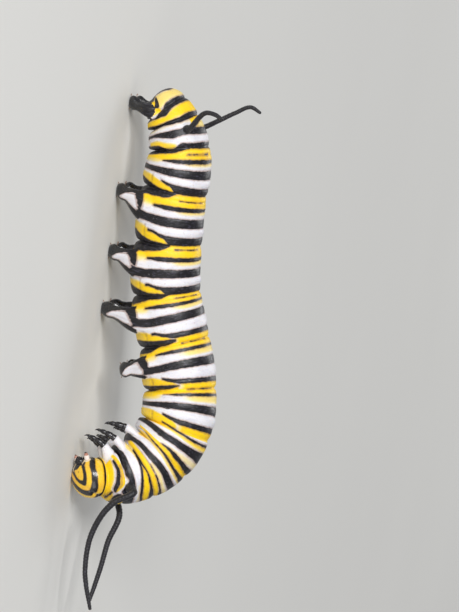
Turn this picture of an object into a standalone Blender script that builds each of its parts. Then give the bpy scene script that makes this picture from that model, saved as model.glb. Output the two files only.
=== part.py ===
"""A full-grown monarch butterfly larva, life size, resting on the soles of its rear prolegs and on its face.

Units are metres. +X is the way the rear body points, +Y is the animal's left and +Z is up. The abdomen stands
level, arches up in the middle, and the thorax and head curl down to the floor and round to the animal's right.
"""

import math
from collections import namedtuple

import bmesh
import bpy
import numpy as np

# The gap left between neighbouring pieces. Every size below is in mm, and loft() turns them into metres.
GAP = 0.3
MM = 0.001

# The trunk, one row for each body ring from the tail to the neck. Sizes are in mm and angles in degrees:
# pitch is the ring's slope above level, and yaw is how far it is turned to the animal's right.
Ring = namedtuple("Ring", "name length half_height half_width pitch yaw")
TRUNK_RINGS = (
    Ring("abdomen_10", 1.60, 1.80, 1.85, 50, 0),
    Ring("abdomen_09", 1.40, 2.25, 2.30, 33, 0),
    Ring("abdomen_08", 2.35, 2.62, 2.68, 23, 0),
    Ring("abdomen_07", 3.80, 2.98, 3.02, -2.5, -2),
    Ring("abdomen_06", 4.80, 3.08, 3.12, 2, -3),
    Ring("abdomen_05", 4.60, 3.16, 3.18, 4, -4),
    Ring("abdomen_04", 4.55, 3.24, 3.27, 18.5, -4),
    Ring("abdomen_03", 4.30, 3.35, 3.33, 15.5, 1),
    Ring("abdomen_02", 3.60, 3.35, 3.28, 3, 5),
    Ring("abdomen_01", 2.55, 3.32, 3.20, -22.5, 11),
    Ring("thorax_3", 2.45, 3.18, 3.08, -46, 18),
    Ring("thorax_2", 2.12, 2.85, 2.85, -60, 27),
    Ring("thorax_1", 1.52, 2.32, 2.38, -80, 34),
)
TAIL_TIP = (-0.60, 0.0, 2.00)
TAIL_PITCH = 55
NECK_PITCH, NECK_YAW = -84, 37
NECK_RADIUS = 1.68
FOLD_DEPTH_BACK, FOLD_DEPTH_SIDE, FOLD_DEPTH_BELLY = 0.12, 0.18, 0.42
FOLD_SHARPNESS = 5
CENTRELINE_STEP = 0.02
TRUNK_SIDES = 32
RING_STATIONS = (0.0, 0.10, 0.28, 0.5, 0.72, 0.90, 1.0)
TAIL_STATIONS = (0.04, 0.12, 0.25, 0.42, 0.65, 0.85, 1.0)

# The head capsule, in mm: depth is from the neck to the face.
HEAD_DEPTH, HEAD_HALF_HEIGHT, HEAD_HALF_WIDTH = 2.30, 1.84, 1.80
HEAD_WIDEST = 0.36
HEAD_BLUNTNESS = 2.5
HEAD_STATIONS = (0.0, 0.08, 0.2, 0.36, 0.5, 0.62, 0.73, 0.82, 0.89, 0.945, 0.985)
SULCUS_DEPTH, SULCUS_HALF_ANGLE = 0.14, 14
FACE_PITCH, FACE_YAW = -64, 58
HEAD_TURN_SHARE = 0.60

# Prolegs come in pairs. Place is the share of the ring's length from its rear edge, and angle is measured round
# the ring from the middle of the back. The foot is given from the trunk's centre over the root: ahead, aside, up.
Proleg = namedtuple("Proleg", "name ring place angle root_half_length foot_ahead foot_aside foot_up")
PROLEGS = (
    Proleg("proleg_a10", "abdomen_10", 0.62, 128, 0.78, 0.20, 1.35, 0.0),
    Proleg("proleg_a6", "abdomen_06", 0.33, 138, 1.25, -0.92, 1.60, 0.0),
    Proleg("proleg_a5", "abdomen_05", 0.40, 138, 1.20, -0.40, 1.60, 0.0),
    Proleg("proleg_a4", "abdomen_04", 0.42, 138, 1.20, 0.28, 1.60, 0.0),
    Proleg("proleg_a3", "abdomen_03", 0.44, 136, 1.18, 1.35, 1.50, 2.45),
)
PROLEG_ROOT_ANGLE = 24
FOOT_HALF_LENGTH, FOOT_HALF_WIDTH = 0.66, 0.50
PROLEG_SIDES = 16
PROLEG_WAIST = 0.86
HANGING_FOOT_TILT = 14

# Thoracic legs come in pairs. Reach is where the claw's tip lies from the root, in mm: ahead, aside, up.
Leg = namedtuple("Leg", "name ring place angle reach")
LEGS = (
    Leg("leg_t3", "thorax_3", 0.45, 150, (-0.55, 0.35, -2.65)),
    Leg("leg_t2", "thorax_2", 0.45, 146, (-1.35, 0.35, -1.95)),
    Leg("leg_t1", "thorax_1", 0.42, 146, (-1.25, 0.20, -1.50)),
)
LEG_ROOT_HALF_LENGTH, LEG_ROOT_ANGLE = 0.58, 13
# Share of the leg's length, and its radius there in mm: coxa, knee, femur, tibia, tarsus and claw.
LEG_PROFILE = (
    (0.12, 0.56), (0.30, 0.50), (0.36, 0.38), (0.42, 0.43), (0.56, 0.38), (0.61, 0.29),
    (0.68, 0.33), (0.78, 0.27), (0.83, 0.20), (0.90, 0.17), (0.97, 0.09),
)
LEG_SIDES = 12
LEG_BOW = 0.25

# Filaments: place and angle as for legs. The path is where the filament goes from its root: ahead, right and up.
Filament = namedtuple("Filament", "name ring place angle root_radius end_radius path")
FILAMENTS = (
    Filament(
        "filament_front_right", "thorax_2", 0.84, 62, 0.33, 0.25,
        ((1.3, 0.9, -1.3), (4.3, 0.7, -2.9), (7.7, 0.6, -3.1), (11.4, 0.2, -2.2)),
    ),
    Filament(
        "filament_front_left", "thorax_2", 0.84, -62, 0.33, 0.25,
        ((2.0, 0.4, 0.8), (4.6, 0.8, 0.2), (7.2, 1.2, -0.1), (10.4, 1.8, -0.6)),
    ),
    Filament(
        "filament_rear_right", "abdomen_08", 0.42, 56, 0.30, 0.25,
        ((-1.0, 1.0, 0.9), (-1.7, 2.2, 1.8), (-1.7, 3.2, 2.8), (-1.4, 4.1, 3.7)),
    ),
    Filament(
        "filament_rear_left", "abdomen_08", 0.42, -56, 0.30, 0.25,
        ((-1.0, -0.3, 1.7), (-1.9, -0.3, 3.1), (-2.6, -0.1, 4.4), (-2.2, 0.3, 5.5)),
    ),
)
FILAMENT_RISE = 0.45
FILAMENT_SIDES = 8
FILAMENT_STATIONS = 22
FILAMENT_TIP_SHARE, FILAMENT_TIP_SCALE = 0.14, 0.55

# Antennae and mouthparts sit on the head: angle round it as above, and place as a share of its depth.
ANTENNA_PLACE, ANTENNA_ANGLE, ANTENNA_LENGTH, ANTENNA_RADIUS = 0.40, 161, 0.58, 0.27
ANTENNA_STOOP, ANTENNA_SIDES = 3.0, 8
MOUTH_PLACE, MOUTH_HALF_LENGTH, MOUTH_HALF_ANGLE, MOUTH_HEIGHT = 0.70, 0.37, 19, 0.34


def smooth(stations, values, at):
    """Values at any place, on a smooth curve through those at the stations."""
    slopes = np.gradient(values, stations)
    at = np.clip(at, stations[0], stations[-1])
    i = np.clip(np.searchsorted(stations, at) - 1, 0, len(stations) - 2)
    span = stations[i + 1] - stations[i]
    t = (at - stations[i]) / span
    return (
        (2 * t**3 - 3 * t**2 + 1) * values[i]
        + (t**3 - 2 * t**2 + t) * span * slopes[i]
        + (3 * t**2 - 2 * t**3) * values[i + 1]
        + (t**3 - t**2) * span * slopes[i + 1]
    )


def direction(pitch, yaw):
    """The unit vector with that slope above level, turned that far to the animal's right of +X."""
    pitch, yaw = np.radians(pitch), np.radians(yaw)
    ahead, right = np.array([np.cos(pitch), 0, np.sin(pitch)]), np.array([0, -1.0, 0])
    return ahead * np.cos(yaw) + right * np.sin(yaw)


class Trunk:
    """The body's centreline and skin, from the tail tip to the neck. Distances along it are in mm."""

    def __init__(self):
        lengths = np.array([ring.length for ring in TRUNK_RINGS])
        self.edges = np.concatenate([[0], np.cumsum(lengths)])
        self.middles = (self.edges[:-1] + self.edges[1:]) / 2
        self.length = self.edges[-1]
        self.way_stations = np.concatenate([[0], self.middles, [self.length]])
        self.pitches = np.array([TAIL_PITCH, *[ring.pitch for ring in TRUNK_RINGS], NECK_PITCH], float)
        self.yaws = np.array([0, *[ring.yaw for ring in TRUNK_RINGS], NECK_YAW], float)
        self.size_stations = np.append(self.middles, self.length)
        self.heights = np.array([*[ring.half_height for ring in TRUNK_RINGS], NECK_RADIUS])
        self.widths = np.array([*[ring.half_width for ring in TRUNK_RINGS], NECK_RADIUS])
        self.steps = np.arange(0, self.length + CENTRELINE_STEP, CENTRELINE_STEP)
        ways = np.array([direction(*self.way(s + CENTRELINE_STEP / 2)) for s in self.steps[:-1]])
        self.points = np.array(TAIL_TIP) + np.vstack([np.zeros(3), np.cumsum(ways, 0) * CENTRELINE_STEP])

    def way(self, s):
        return smooth(self.way_stations, self.pitches, s), smooth(self.way_stations, self.yaws, s)

    def frame(self, s):
        """Centre in mm, and the unit vectors ahead, to the back and to the animal's right."""
        centre = np.array([np.interp(s, self.steps, self.points[:, axis]) for axis in range(3)])
        pitch, yaw = self.way(s)
        back = np.array([-math.sin(math.radians(pitch)), 0, math.cos(math.radians(pitch))])
        ahead = direction(pitch, yaw)
        return centre, ahead, back, np.cross(ahead, back)

    def place(self, name, share):
        """Distance along the trunk of a share of the named ring, from its rear edge."""
        i = [ring.name for ring in TRUNK_RINGS].index(name)
        return self.edges[i] + share * (self.edges[i + 1] - self.edges[i])

    def skin(self, s, angle, clear=0.0):
        """A point on the skin, or that far off it, at an angle round the ring from the middle of the back."""
        centre, _, back, right = self.frame(s)
        i = min(max(np.searchsorted(self.edges, s, side="right") - 1, 0), len(TRUNK_RINGS) - 1)
        share = (s - self.edges[i]) / (self.edges[i + 1] - self.edges[i])
        fold = abs(2 * share - 1) ** FOLD_SHARPNESS
        a = math.radians(angle)
        belly, side = max(0.0, -math.cos(a)), abs(math.sin(a))
        depth = FOLD_DEPTH_BACK + (FOLD_DEPTH_SIDE - FOLD_DEPTH_BACK) * side
        depth += (FOLD_DEPTH_BELLY - FOLD_DEPTH_BACK) * belly
        height = smooth(self.size_stations, self.heights, max(s, self.middles[0]))
        width = smooth(self.size_stations, self.widths, max(s, self.middles[0]))
        dome = 1.0
        if i == 0:
            fold = max(0.0, 2 * share - 1) ** FOLD_SHARPNESS
            dome = math.sqrt(1 - max(0.0, 1 - share / 0.8) ** 2.2)
        inset = 1 - depth * fold / height
        radial = math.cos(a) * height * back + math.sin(a) * width * right
        length = float(np.linalg.norm(radial))
        return centre + radial * (dome * inset + clear / length)


def new_material(name, colour, roughness):
    material = bpy.data.materials.new(name)
    material.diffuse_color = (*colour, 1)
    material.use_nodes = True
    shader = material.node_tree.nodes["Principled BSDF"]
    shader.inputs["Base Color"].default_value = (*colour, 1)
    shader.inputs["Roughness"].default_value = roughness
    shader.inputs["Metallic"].default_value = 0.0
    return material


def loft(name, rows, material):
    """A closed solid through rows of points in mm that match one another. A row may be one lone point, and an end
    that is a ring is closed by one flat face."""
    bm = bmesh.new()
    rows = [[bm.verts.new(np.array(p) * MM) for p in row] for row in rows]
    for here, after in zip(rows, rows[1:]):
        count = max(len(here), len(after))
        for i in range(count):
            j = (i + 1) % count
            if len(here) == 1:
                bm.faces.new([here[0], after[i], after[j]])
            elif len(after) == 1:
                bm.faces.new([here[j], here[i], after[0]])
            else:
                bm.faces.new([here[j], here[i], after[i], after[j]])
    if len(rows[0]) > 1:
        bm.faces.new(rows[0])
    if len(rows[-1]) > 1:
        bm.faces.new(rows[-1][::-1])
    if bm.calc_volume(signed=True) < 0:
        bmesh.ops.reverse_faces(bm, faces=bm.faces)
    mesh = bpy.data.meshes.new(name)
    bm.to_mesh(mesh)
    bm.free()
    mesh.shade_smooth()
    mesh.set_sharp_from_angle(angle=math.radians(50))
    mesh.materials.append(material)
    obj = bpy.data.objects.new(name, mesh)
    bpy.context.scene.collection.objects.link(obj)
    return obj


def turns(count):
    return [2 * math.pi * i / count for i in range(count)]


def root_rows(trunk, s, angle, half_length, half_angle, sides, shrink=(0.0, 0.5, 1.0)):
    """Rows of points that lie a gap's width off the skin, as ever larger ovals round one place on it."""
    side = math.copysign(1, angle)
    rows = []
    for share in shrink:
        oval = turns(sides) if share else [0.0]
        rows.append([
            trunk.skin(
                s + share * half_length * math.cos(t),
                angle + side * share * half_angle * math.sin(t),
                GAP,
            )
            for t in oval
        ])
    return rows


def tube_ring(centre, way, radius, sides, start, side):
    """A ring of points round a centre, square to way, whose first point lies towards start. It runs the same way
    round as root_rows() does on that side of the body."""
    across = start - way * float(np.dot(start, way))
    across /= np.linalg.norm(across)
    other = np.cross(across, way) * math.copysign(1, side)
    return [centre + radius * (math.cos(t) * across + math.sin(t) * other) for t in turns(sides)]


def build_trunk(trunk, material):
    """One solid for each body ring, parted from its neighbours by the gap."""
    for i, ring in enumerate(TRUNK_RINGS):
        low, high = trunk.edges[i], trunk.edges[i + 1]
        low += GAP / 2 if i else 0
        high -= GAP / 2
        stations = RING_STATIONS if i else TAIL_STATIONS
        rings = [
            [trunk.skin(low + share * (high - low), math.degrees(t)) for t in turns(TRUNK_SIDES)]
            for share in stations
        ]
        tip = [] if i else [[trunk.frame(0)[0]]]
        loft(ring.name, [*tip, *rings], material)


def build_proleg(trunk, row, side, material):
    """A soft conical leg from an oval root on the skin to a flat oval sole."""
    s = trunk.place(row.ring, row.place)
    root = root_rows(trunk, s, side * row.angle, row.root_half_length, PROLEG_ROOT_ANGLE, PROLEG_SIDES)
    centre, ahead, _, _ = trunk.frame(s)
    right = direction(0, 90)
    foot = centre + np.array([row.foot_ahead, 0, 0]) + right * side * row.foot_aside
    foot[2] = row.foot_up
    tilt = math.radians(HANGING_FOOT_TILT if row.foot_up else 0)
    along = np.array([math.cos(tilt), 0, math.sin(tilt)])
    inwards = -side * right
    sole = [
        foot + FOOT_HALF_LENGTH * math.cos(t) * along + FOOT_HALF_WIDTH * math.sin(t) * inwards
        for t in turns(PROLEG_SIDES)
    ]
    middle = trunk.skin(s, side * row.angle)
    outwards = middle - centre
    outwards /= np.linalg.norm(outwards)
    down = np.cross(along, inwards) * -side
    reach = float(np.linalg.norm(foot - middle))
    rings = []
    for share in (0.18, 0.36, 0.54, 0.70, 0.84, 0.94):
        ease = share * share * (3 - 2 * share)
        leave = share * (1 - share) ** 2 * reach
        arrive = share**2 * (1 - share) * reach
        ring = np.array([
            (1 - ease) * a + ease * b + leave * outwards - arrive * down
            for a, b in zip(root[-1], sole)
        ])
        waist = 1 - (1 - PROLEG_WAIST) * math.sin(math.pi * share) ** 2
        ring = ring.mean(0) + (ring - ring.mean(0)) * waist
        rings.append(list(ring))
    loft(f"{row.name}_{side_name(side)}", [*root, *rings, sole], material)


def side_name(side):
    return "right" if side > 0 else "left"


def build_leg(trunk, row, side, material):
    """A jointed, tapering leg that ends in a claw."""
    s = trunk.place(row.ring, row.place)
    root = root_rows(trunk, s, side * row.angle, LEG_ROOT_HALF_LENGTH, LEG_ROOT_ANGLE, LEG_SIDES)
    centre, ahead, _, right = trunk.frame(s)
    start = trunk.skin(s, side * row.angle, GAP)
    outwards = start - centre
    outwards /= np.linalg.norm(outwards)
    forward, aside, up = row.reach
    tip = start + np.array([forward, -side * aside, up])
    knee = (start + tip) / 2 + outwards * LEG_BOW * 2

    def on_path(t):
        return (1 - t) ** 2 * start + 2 * t * (1 - t) * knee + t**2 * tip

    rings = []
    for share, radius in LEG_PROFILE:
        way = on_path(min(share + 0.02, 1)) - on_path(share - 0.02)
        way /= np.linalg.norm(way)
        rings.append(tube_ring(on_path(share), way, radius, LEG_SIDES, ahead, side))
    loft(f"{row.name}_{side_name(side)}", [*root, *rings, [tip]], material)


def build_filament(trunk, row, material):
    """A long, soft, slightly curved filament that ends in a blunt point."""
    s = trunk.place(row.ring, row.place)
    half_angle = math.degrees(row.root_radius / np.interp(s, trunk.size_stations, trunk.widths))
    root = root_rows(trunk, s, row.angle, row.root_radius, half_angle, FILAMENT_SIDES, (0.0, 1.0))
    centre, ahead, _, _ = trunk.frame(s)
    start = trunk.skin(s, row.angle, GAP)
    rise = (start - centre) / np.linalg.norm(start - centre) * FILAMENT_RISE
    knots = [start, start + rise, *[start + np.array([x, -right, z]) for x, right, z in row.path]]
    spans = np.linalg.norm(np.diff(knots, axis=0), axis=1)
    along = np.concatenate([[0], np.cumsum(spans)])
    shares = np.linspace(0, 1, FILAMENT_STATIONS) ** 1.25
    path = np.array([
        [smooth(along, np.array(knots)[:, axis], share * along[-1]) for axis in range(3)] for share in shares
    ])
    rows = list(root)
    for i in range(1, FILAMENT_STATIONS - 1):
        way = path[i + 1] - path[i - 1]
        way /= np.linalg.norm(way)
        radius = row.root_radius + (row.end_radius - row.root_radius) * shares[i]
        past = max(0.0, 1 - (1 - shares[i]) / FILAMENT_TIP_SHARE)
        radius *= 1 - (1 - FILAMENT_TIP_SCALE) * past
        rows.append(tube_ring(path[i], way, radius, FILAMENT_SIDES, ahead, row.angle))
    loft(row.name, [*rows, [path[-1]]], material)


class Head:
    """The hard head capsule. Its axis turns from the neck's way to the face's."""

    def __init__(self, trunk):
        neck, ahead, _, _ = trunk.frame(trunk.length)
        self.shares = np.linspace(0, 1, 51)
        ways = [direction(*self.way(share)) for share in (self.shares[:-1] + self.shares[1:]) / 2]
        steps = np.vstack([ahead * GAP / 2, np.array(ways) * HEAD_DEPTH / 50])
        self.points = neck + np.cumsum(steps, 0)

    def way(self, share):
        turned = min(1.0, share / HEAD_TURN_SHARE)
        turned = turned * turned * (3 - 2 * turned)
        return NECK_PITCH + (FACE_PITCH - NECK_PITCH) * turned, NECK_YAW + (FACE_YAW - NECK_YAW) * turned

    def frame(self, share):
        """Centre in mm, and the unit vectors ahead, to the crown and to the animal's right."""
        centre = np.array([np.interp(share, self.shares, self.points[:, axis]) for axis in range(3)])
        pitch, yaw = self.way(share)
        back = np.array([-math.sin(math.radians(pitch)), 0, math.cos(math.radians(pitch))])
        ahead = direction(pitch, yaw)
        return centre, ahead, back, np.cross(ahead, back)

    def surface(self, share, angle, clear=0.0):
        a = math.radians(angle)
        if share < HEAD_WIDEST:
            neck_share = NECK_RADIUS / HEAD_HALF_HEIGHT * 0.93
            swell = neck_share + (1 - neck_share) * math.sin(share / HEAD_WIDEST * math.pi / 2)
        else:
            beyond = (share - HEAD_WIDEST) / (1 - HEAD_WIDEST)
            swell = (1 - beyond**HEAD_BLUNTNESS) ** (1 / HEAD_BLUNTNESS)
        crown = max(0.0, 1 - abs((angle + 180) % 360 - 180) / SULCUS_HALF_ANGLE)
        groove = SULCUS_DEPTH * crown * crown * swell * min(1, share / HEAD_WIDEST)
        height, width = HEAD_HALF_HEIGHT * swell - groove, HEAD_HALF_WIDTH * swell
        centre, _, back, right = self.frame(share)
        radial = math.cos(a) * height * back + math.sin(a) * width * right
        length = float(np.linalg.norm(radial))
        return centre + radial * (1 + clear / length)

    def rows(self, share, angle, half_share, half_angle, sides, shrink):
        return [
            [
                self.surface(
                    share + k * half_share * math.cos(t), angle + k * half_angle * math.sin(t), GAP
                )
                for t in (turns(sides) if k else [0.0])
            ]
            for k in shrink
        ]


def build_head(head, material):
    """The capsule, with a small flat where its cheek rests on the floor."""
    rings = [
        [head.surface(share, math.degrees(t)) for t in turns(TRUNK_SIDES)] for share in HEAD_STATIONS
    ]
    for ring in rings:
        for point in ring:
            point[2] = max(point[2], 0.0)
    loft("head", [*rings, [head.frame(1.0)[0]]], material)


def build_antenna(head, side, material):
    """A short blunt feeler beside the jaws."""
    angle = side * ANTENNA_ANGLE
    half_angle = math.degrees(ANTENNA_RADIUS / HEAD_HALF_WIDTH)
    root = head.rows(
        ANTENNA_PLACE, angle, ANTENNA_RADIUS / HEAD_DEPTH, side * half_angle, ANTENNA_SIDES, (0.0, 1.0)
    )
    start = head.surface(ANTENNA_PLACE, angle, GAP)
    outwards = start - head.surface(ANTENNA_PLACE, angle, -1.0)
    way = outwards - ANTENNA_STOOP * head.frame(ANTENNA_PLACE)[2]
    way /= np.linalg.norm(way)
    rings = []
    for share, scale in ((0.34, 1.0), (0.62, 0.95), (0.72, 0.62), (0.90, 0.5)):
        centre, radius = start + way * share * ANTENNA_LENGTH, ANTENNA_RADIUS * scale
        rings.append(tube_ring(centre, way, radius, ANTENNA_SIDES, head.frame(ANTENNA_PLACE)[1], side))
    tip = start + way * ANTENNA_LENGTH
    loft(f"antenna_{side_name(side)}", [*root, *rings, [tip]], material)


def build_mouth(head, material):
    """The upper lip and jaws, as one blunt block under the face."""
    root = head.rows(
        MOUTH_PLACE, 180, MOUTH_HALF_LENGTH / HEAD_DEPTH, MOUTH_HALF_ANGLE, PROLEG_SIDES, (0.0, 0.5, 1.0)
    )
    outer = np.array(root[-1])
    down = -head.frame(MOUTH_PLACE)[2]
    rings = []
    for share, scale in ((0.4, 0.98), (0.75, 0.86), (1.0, 0.58)):
        centre = outer.mean(0)
        rings.append(list(centre + (outer - centre) * scale + down * MOUTH_HEIGHT * share))
    loft("mouthparts", [*root, *rings], material)


def centre_on_origin():
    """Moves every vertex so that the origin is under the middle of the whole animal."""
    objects = list(bpy.context.scene.collection.objects)
    points = np.array([v.co[:] for obj in objects for v in obj.data.vertices])
    shift = (points.min(0) + points.max(0)) / 2
    for obj in objects:
        for vertex in obj.data.vertices:
            vertex.co.x -= shift[0]
            vertex.co.y -= shift[1]


def main():
    for obj in list(bpy.data.objects):
        bpy.data.objects.remove(obj)
    skin = new_material("larval_skin", (0.85, 0.72, 0.25), 0.55)
    capsule = new_material("head_capsule", (0.90, 0.62, 0.05), 0.25)
    dark = new_material("dark_cuticle", (0.015, 0.014, 0.018), 0.3)
    velvet = new_material("filament_skin", (0.02, 0.018, 0.025), 0.6)
    trunk = Trunk()
    build_trunk(trunk, skin)
    for side in (1, -1):
        for row in PROLEGS:
            build_proleg(trunk, row, side, dark)
        for row in LEGS:
            build_leg(trunk, row, side, dark)
    for row in FILAMENTS:
        build_filament(trunk, row, velvet)
    head = Head(trunk)
    build_head(head, capsule)
    build_mouth(head, dark)
    for side in (1, -1):
        build_antenna(head, side, dark)
    centre_on_origin()


main()
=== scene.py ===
import math

import bmesh
import bpy
import numpy as np
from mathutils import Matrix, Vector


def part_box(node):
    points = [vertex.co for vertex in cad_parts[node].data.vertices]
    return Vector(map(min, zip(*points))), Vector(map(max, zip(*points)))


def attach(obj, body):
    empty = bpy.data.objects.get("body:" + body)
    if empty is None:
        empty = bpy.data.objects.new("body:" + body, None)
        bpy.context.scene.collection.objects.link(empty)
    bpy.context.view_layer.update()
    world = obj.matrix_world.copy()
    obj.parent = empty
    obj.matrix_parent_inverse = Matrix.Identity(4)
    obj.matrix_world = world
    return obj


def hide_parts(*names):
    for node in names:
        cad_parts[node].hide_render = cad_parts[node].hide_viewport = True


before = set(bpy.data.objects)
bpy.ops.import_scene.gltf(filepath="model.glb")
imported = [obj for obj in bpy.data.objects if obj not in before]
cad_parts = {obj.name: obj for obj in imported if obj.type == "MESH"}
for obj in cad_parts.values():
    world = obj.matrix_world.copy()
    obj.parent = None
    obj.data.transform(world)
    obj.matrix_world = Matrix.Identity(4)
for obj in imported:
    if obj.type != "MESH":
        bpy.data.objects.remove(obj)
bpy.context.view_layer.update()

# The skin of the body, the fleshy prolegs and the white hips of the thoracic legs. In life it is one soft, thin,
# stretched cuticle, folded where the body rings meet, with its stripes coloured by pigment cells under it.
# It is one closed surface here, made from rings of points along the body's centreline.
MM = 0.001

# Length, half height, half width in mm, then slope above level and turn to the animal's right in degrees.
RINGS = {
    "abdomen_10": (1.60, 1.80, 1.85, 50, 0),
    "abdomen_09": (1.40, 2.25, 2.30, 33, 0),
    "abdomen_08": (2.35, 2.62, 2.68, 23, 0),
    "abdomen_07": (3.80, 2.98, 3.02, -2.5, -2),
    "abdomen_06": (4.80, 3.08, 3.12, 2, -3),
    "abdomen_05": (4.60, 3.16, 3.18, 4, -4),
    "abdomen_04": (4.55, 3.24, 3.27, 18.5, -4),
    "abdomen_03": (4.30, 3.35, 3.33, 15.5, 1),
    "abdomen_02": (3.60, 3.35, 3.28, 3, 5),
    "abdomen_01": (2.55, 3.32, 3.20, -22.5, 11),
    "thorax_3": (2.45, 3.18, 3.08, -46, 18),
    "thorax_2": (2.12, 2.85, 2.85, -60, 27),
    "thorax_1": (1.52, 2.32, 2.38, -80, 34),
}
TAIL_TIP, TAIL_PITCH = (-0.60, 0.0, 2.00), 55
NECK_PITCH, NECK_YAW, NECK_RADIUS = -84, 37, 1.68
FOLD_BACK, FOLD_SIDE, FOLD_BELLY, FOLD_SHARPNESS = 0.12, 0.18, 0.42, 5
LINE_STEP = 0.02
CAD_GAP, CAD_SIDES = 0.3, 32
CAD_STATIONS = (0.0, 0.10, 0.28, 0.5, 0.72, 0.90, 1.0)

ring_names = list(RINGS)
ring_sizes = np.array(list(RINGS.values()), float)
lengths = ring_sizes[:, 0]
edges = np.concatenate([[0], np.cumsum(lengths)])
middles = (edges[:-1] + edges[1:]) / 2
body_length = edges[-1]


def smooth(stations, values, at):
    """Values at any places, on a smooth curve through those at the stations, and level beyond the ends."""
    stations, values = np.asarray(stations, float), np.asarray(values, float)
    slopes = np.gradient(values, stations)
    at = np.clip(at, stations[0], stations[-1])
    i = np.clip(np.searchsorted(stations, at) - 1, 0, len(stations) - 2)
    span = stations[i + 1] - stations[i]
    t = (at - stations[i]) / span
    return (
        (2 * t**3 - 3 * t**2 + 1) * values[i]
        + (t**3 - 2 * t**2 + t) * span * slopes[i]
        + (3 * t**2 - 2 * t**3) * values[i + 1]
        + (t**3 - t**2) * span * slopes[i + 1]
    )


def direction(pitch, yaw):
    """The unit vectors with that slope above level, turned that far to the animal's right of +X."""
    pitch, yaw = np.radians(pitch), np.radians(yaw)
    return np.stack([np.cos(pitch) * np.cos(yaw), -np.sin(yaw), np.sin(pitch) * np.cos(yaw)], -1)


def body_way(s):
    """The body's slope above level and its turn to the right, in degrees, at any places along it."""
    stations = [0, *middles, body_length]
    pitch = smooth(stations, [TAIL_PITCH, *ring_sizes[:, 3], NECK_PITCH], s)
    return pitch, smooth(stations, [0, *ring_sizes[:, 4], NECK_YAW], s)


line_steps = np.arange(0, body_length + LINE_STEP, LINE_STEP)
line_ways = direction(*body_way(line_steps[:-1] + LINE_STEP / 2))
line_points = np.array(TAIL_TIP) + np.vstack([np.zeros(3), np.cumsum(line_ways, 0) * LINE_STEP])


def axes(pitch, yaw):
    """The unit vectors ahead, to the back and to the animal's right."""
    ahead = direction(pitch, yaw)
    pitch = np.radians(pitch)
    back = np.stack([-np.sin(pitch), np.zeros_like(pitch), np.cos(pitch)], -1)
    return ahead, back, np.cross(ahead, back)


def body_frame(s):
    """The centre in mm, and the three axes, at any places along the body."""
    centre = np.stack([np.interp(s, line_steps, line_points[:, axis]) for axis in range(3)], -1)
    return centre, *axes(*body_way(s))


def along_ring(ring, place):
    """How far along the body a share of a ring lies, in mm."""
    i = ring_names.index(ring)
    return edges[i] + place * lengths[i]


def skin_at(s, angle, clear=0.0):
    """Points on the plain skin, or that far off it, at angles round the body from the middle of the back."""
    s, angle = np.broadcast_arrays(np.asarray(s, float), np.asarray(angle, float))
    centre, _, back, right = body_frame(s)
    i = np.clip(np.searchsorted(edges, s, side="right") - 1, 0, len(lengths) - 1)
    share = (s - edges[i]) / lengths[i]
    a = np.radians(angle)
    depth = FOLD_BACK + (FOLD_SIDE - FOLD_BACK) * np.abs(np.sin(a))
    depth = depth + (FOLD_BELLY - FOLD_BACK) * np.maximum(0, -np.cos(a))
    fold = np.where(i == 0, np.maximum(0, 2 * share - 1), np.abs(2 * share - 1)) ** FOLD_SHARPNESS
    sizes = [*middles, body_length]
    height = smooth(sizes, [*ring_sizes[:, 1], NECK_RADIUS], np.maximum(s, middles[0]))
    width = smooth(sizes, [*ring_sizes[:, 2], NECK_RADIUS], np.maximum(s, middles[0]))
    dome = np.where(i == 0, np.sqrt(1 - np.maximum(0, 1 - share / 0.8) ** 2.2), 1.0)
    radial = (np.cos(a) * height)[..., None] * back + (np.sin(a) * width)[..., None] * right
    length = np.linalg.norm(radial, axis=-1)
    return centre + radial * (dome * (1 - depth * fold / height) + clear / length)[..., None]


# The solids are centred over the origin, so one ring's box says how far this body has to be moved.
i = ring_names.index("abdomen_05")
low, high = edges[i] + CAD_GAP / 2, edges[i + 1] - CAD_GAP / 2
plain = skin_at(
    low + np.array(CAD_STATIONS)[:, None] * (high - low), np.arange(CAD_SIDES)[None] * 360 / CAD_SIDES
).reshape(-1, 3)
box = np.array(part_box("abdomen_05")) / MM
shift = (plain.min(0) + plain.max(0)) / 2 - box.mean(0)
shift[2] = 0.0


def new_object(name, points, faces, material, smoothed=True):
    """A mesh object from points in mm on the larva as it is measured here."""
    mesh = bpy.data.meshes.new(name)
    mesh.from_pydata(((np.asarray(points) - shift) * MM).tolist(), [], [tuple(map(int, f)) for f in faces])
    mesh.polygons.foreach_set("use_smooth", [smoothed] * len(mesh.polygons))
    mesh.materials.append(material)
    obj = bpy.data.objects.new(name, mesh)
    bpy.context.scene.collection.objects.link(obj)
    return obj


def grid_faces(rows, sides, first=0):
    """Faces between rows of points that go right round."""
    here = first + np.arange(rows - 1)[:, None] * sides + np.arange(sides)[None]
    beside = first + np.arange(rows - 1)[:, None] * sides + (np.arange(sides)[None] + 1) % sides
    return np.stack([here, beside, beside + sides, here + sides], -1).reshape(-1, 4)


def closed_tube(rows, start, end):
    """Points and faces of rows of points that go right round, closed by one point at each end."""
    rows = np.asarray(rows)
    count, sides = rows.shape[:2]
    points = np.vstack([rows.reshape(-1, 3), [start], [end]])
    turn = np.arange(sides)
    after = (turn + 1) % sides
    last = (count - 1) * sides
    faces = [tuple(f) for f in grid_faces(count, sides)]
    faces += [(after[j], j, count * sides) for j in turn]
    faces += [(last + j, last + after[j], count * sides + 1) for j in turn]
    return points, faces


def face_out(obj):
    """Turns a closed mesh the right way out."""
    bm = bmesh.new()
    bm.from_mesh(obj.data)
    if bm.calc_volume(signed=True) < 0:
        bmesh.ops.reverse_faces(bm, faces=bm.faces)
    bm.to_mesh(obj.data)
    bm.free()


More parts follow.
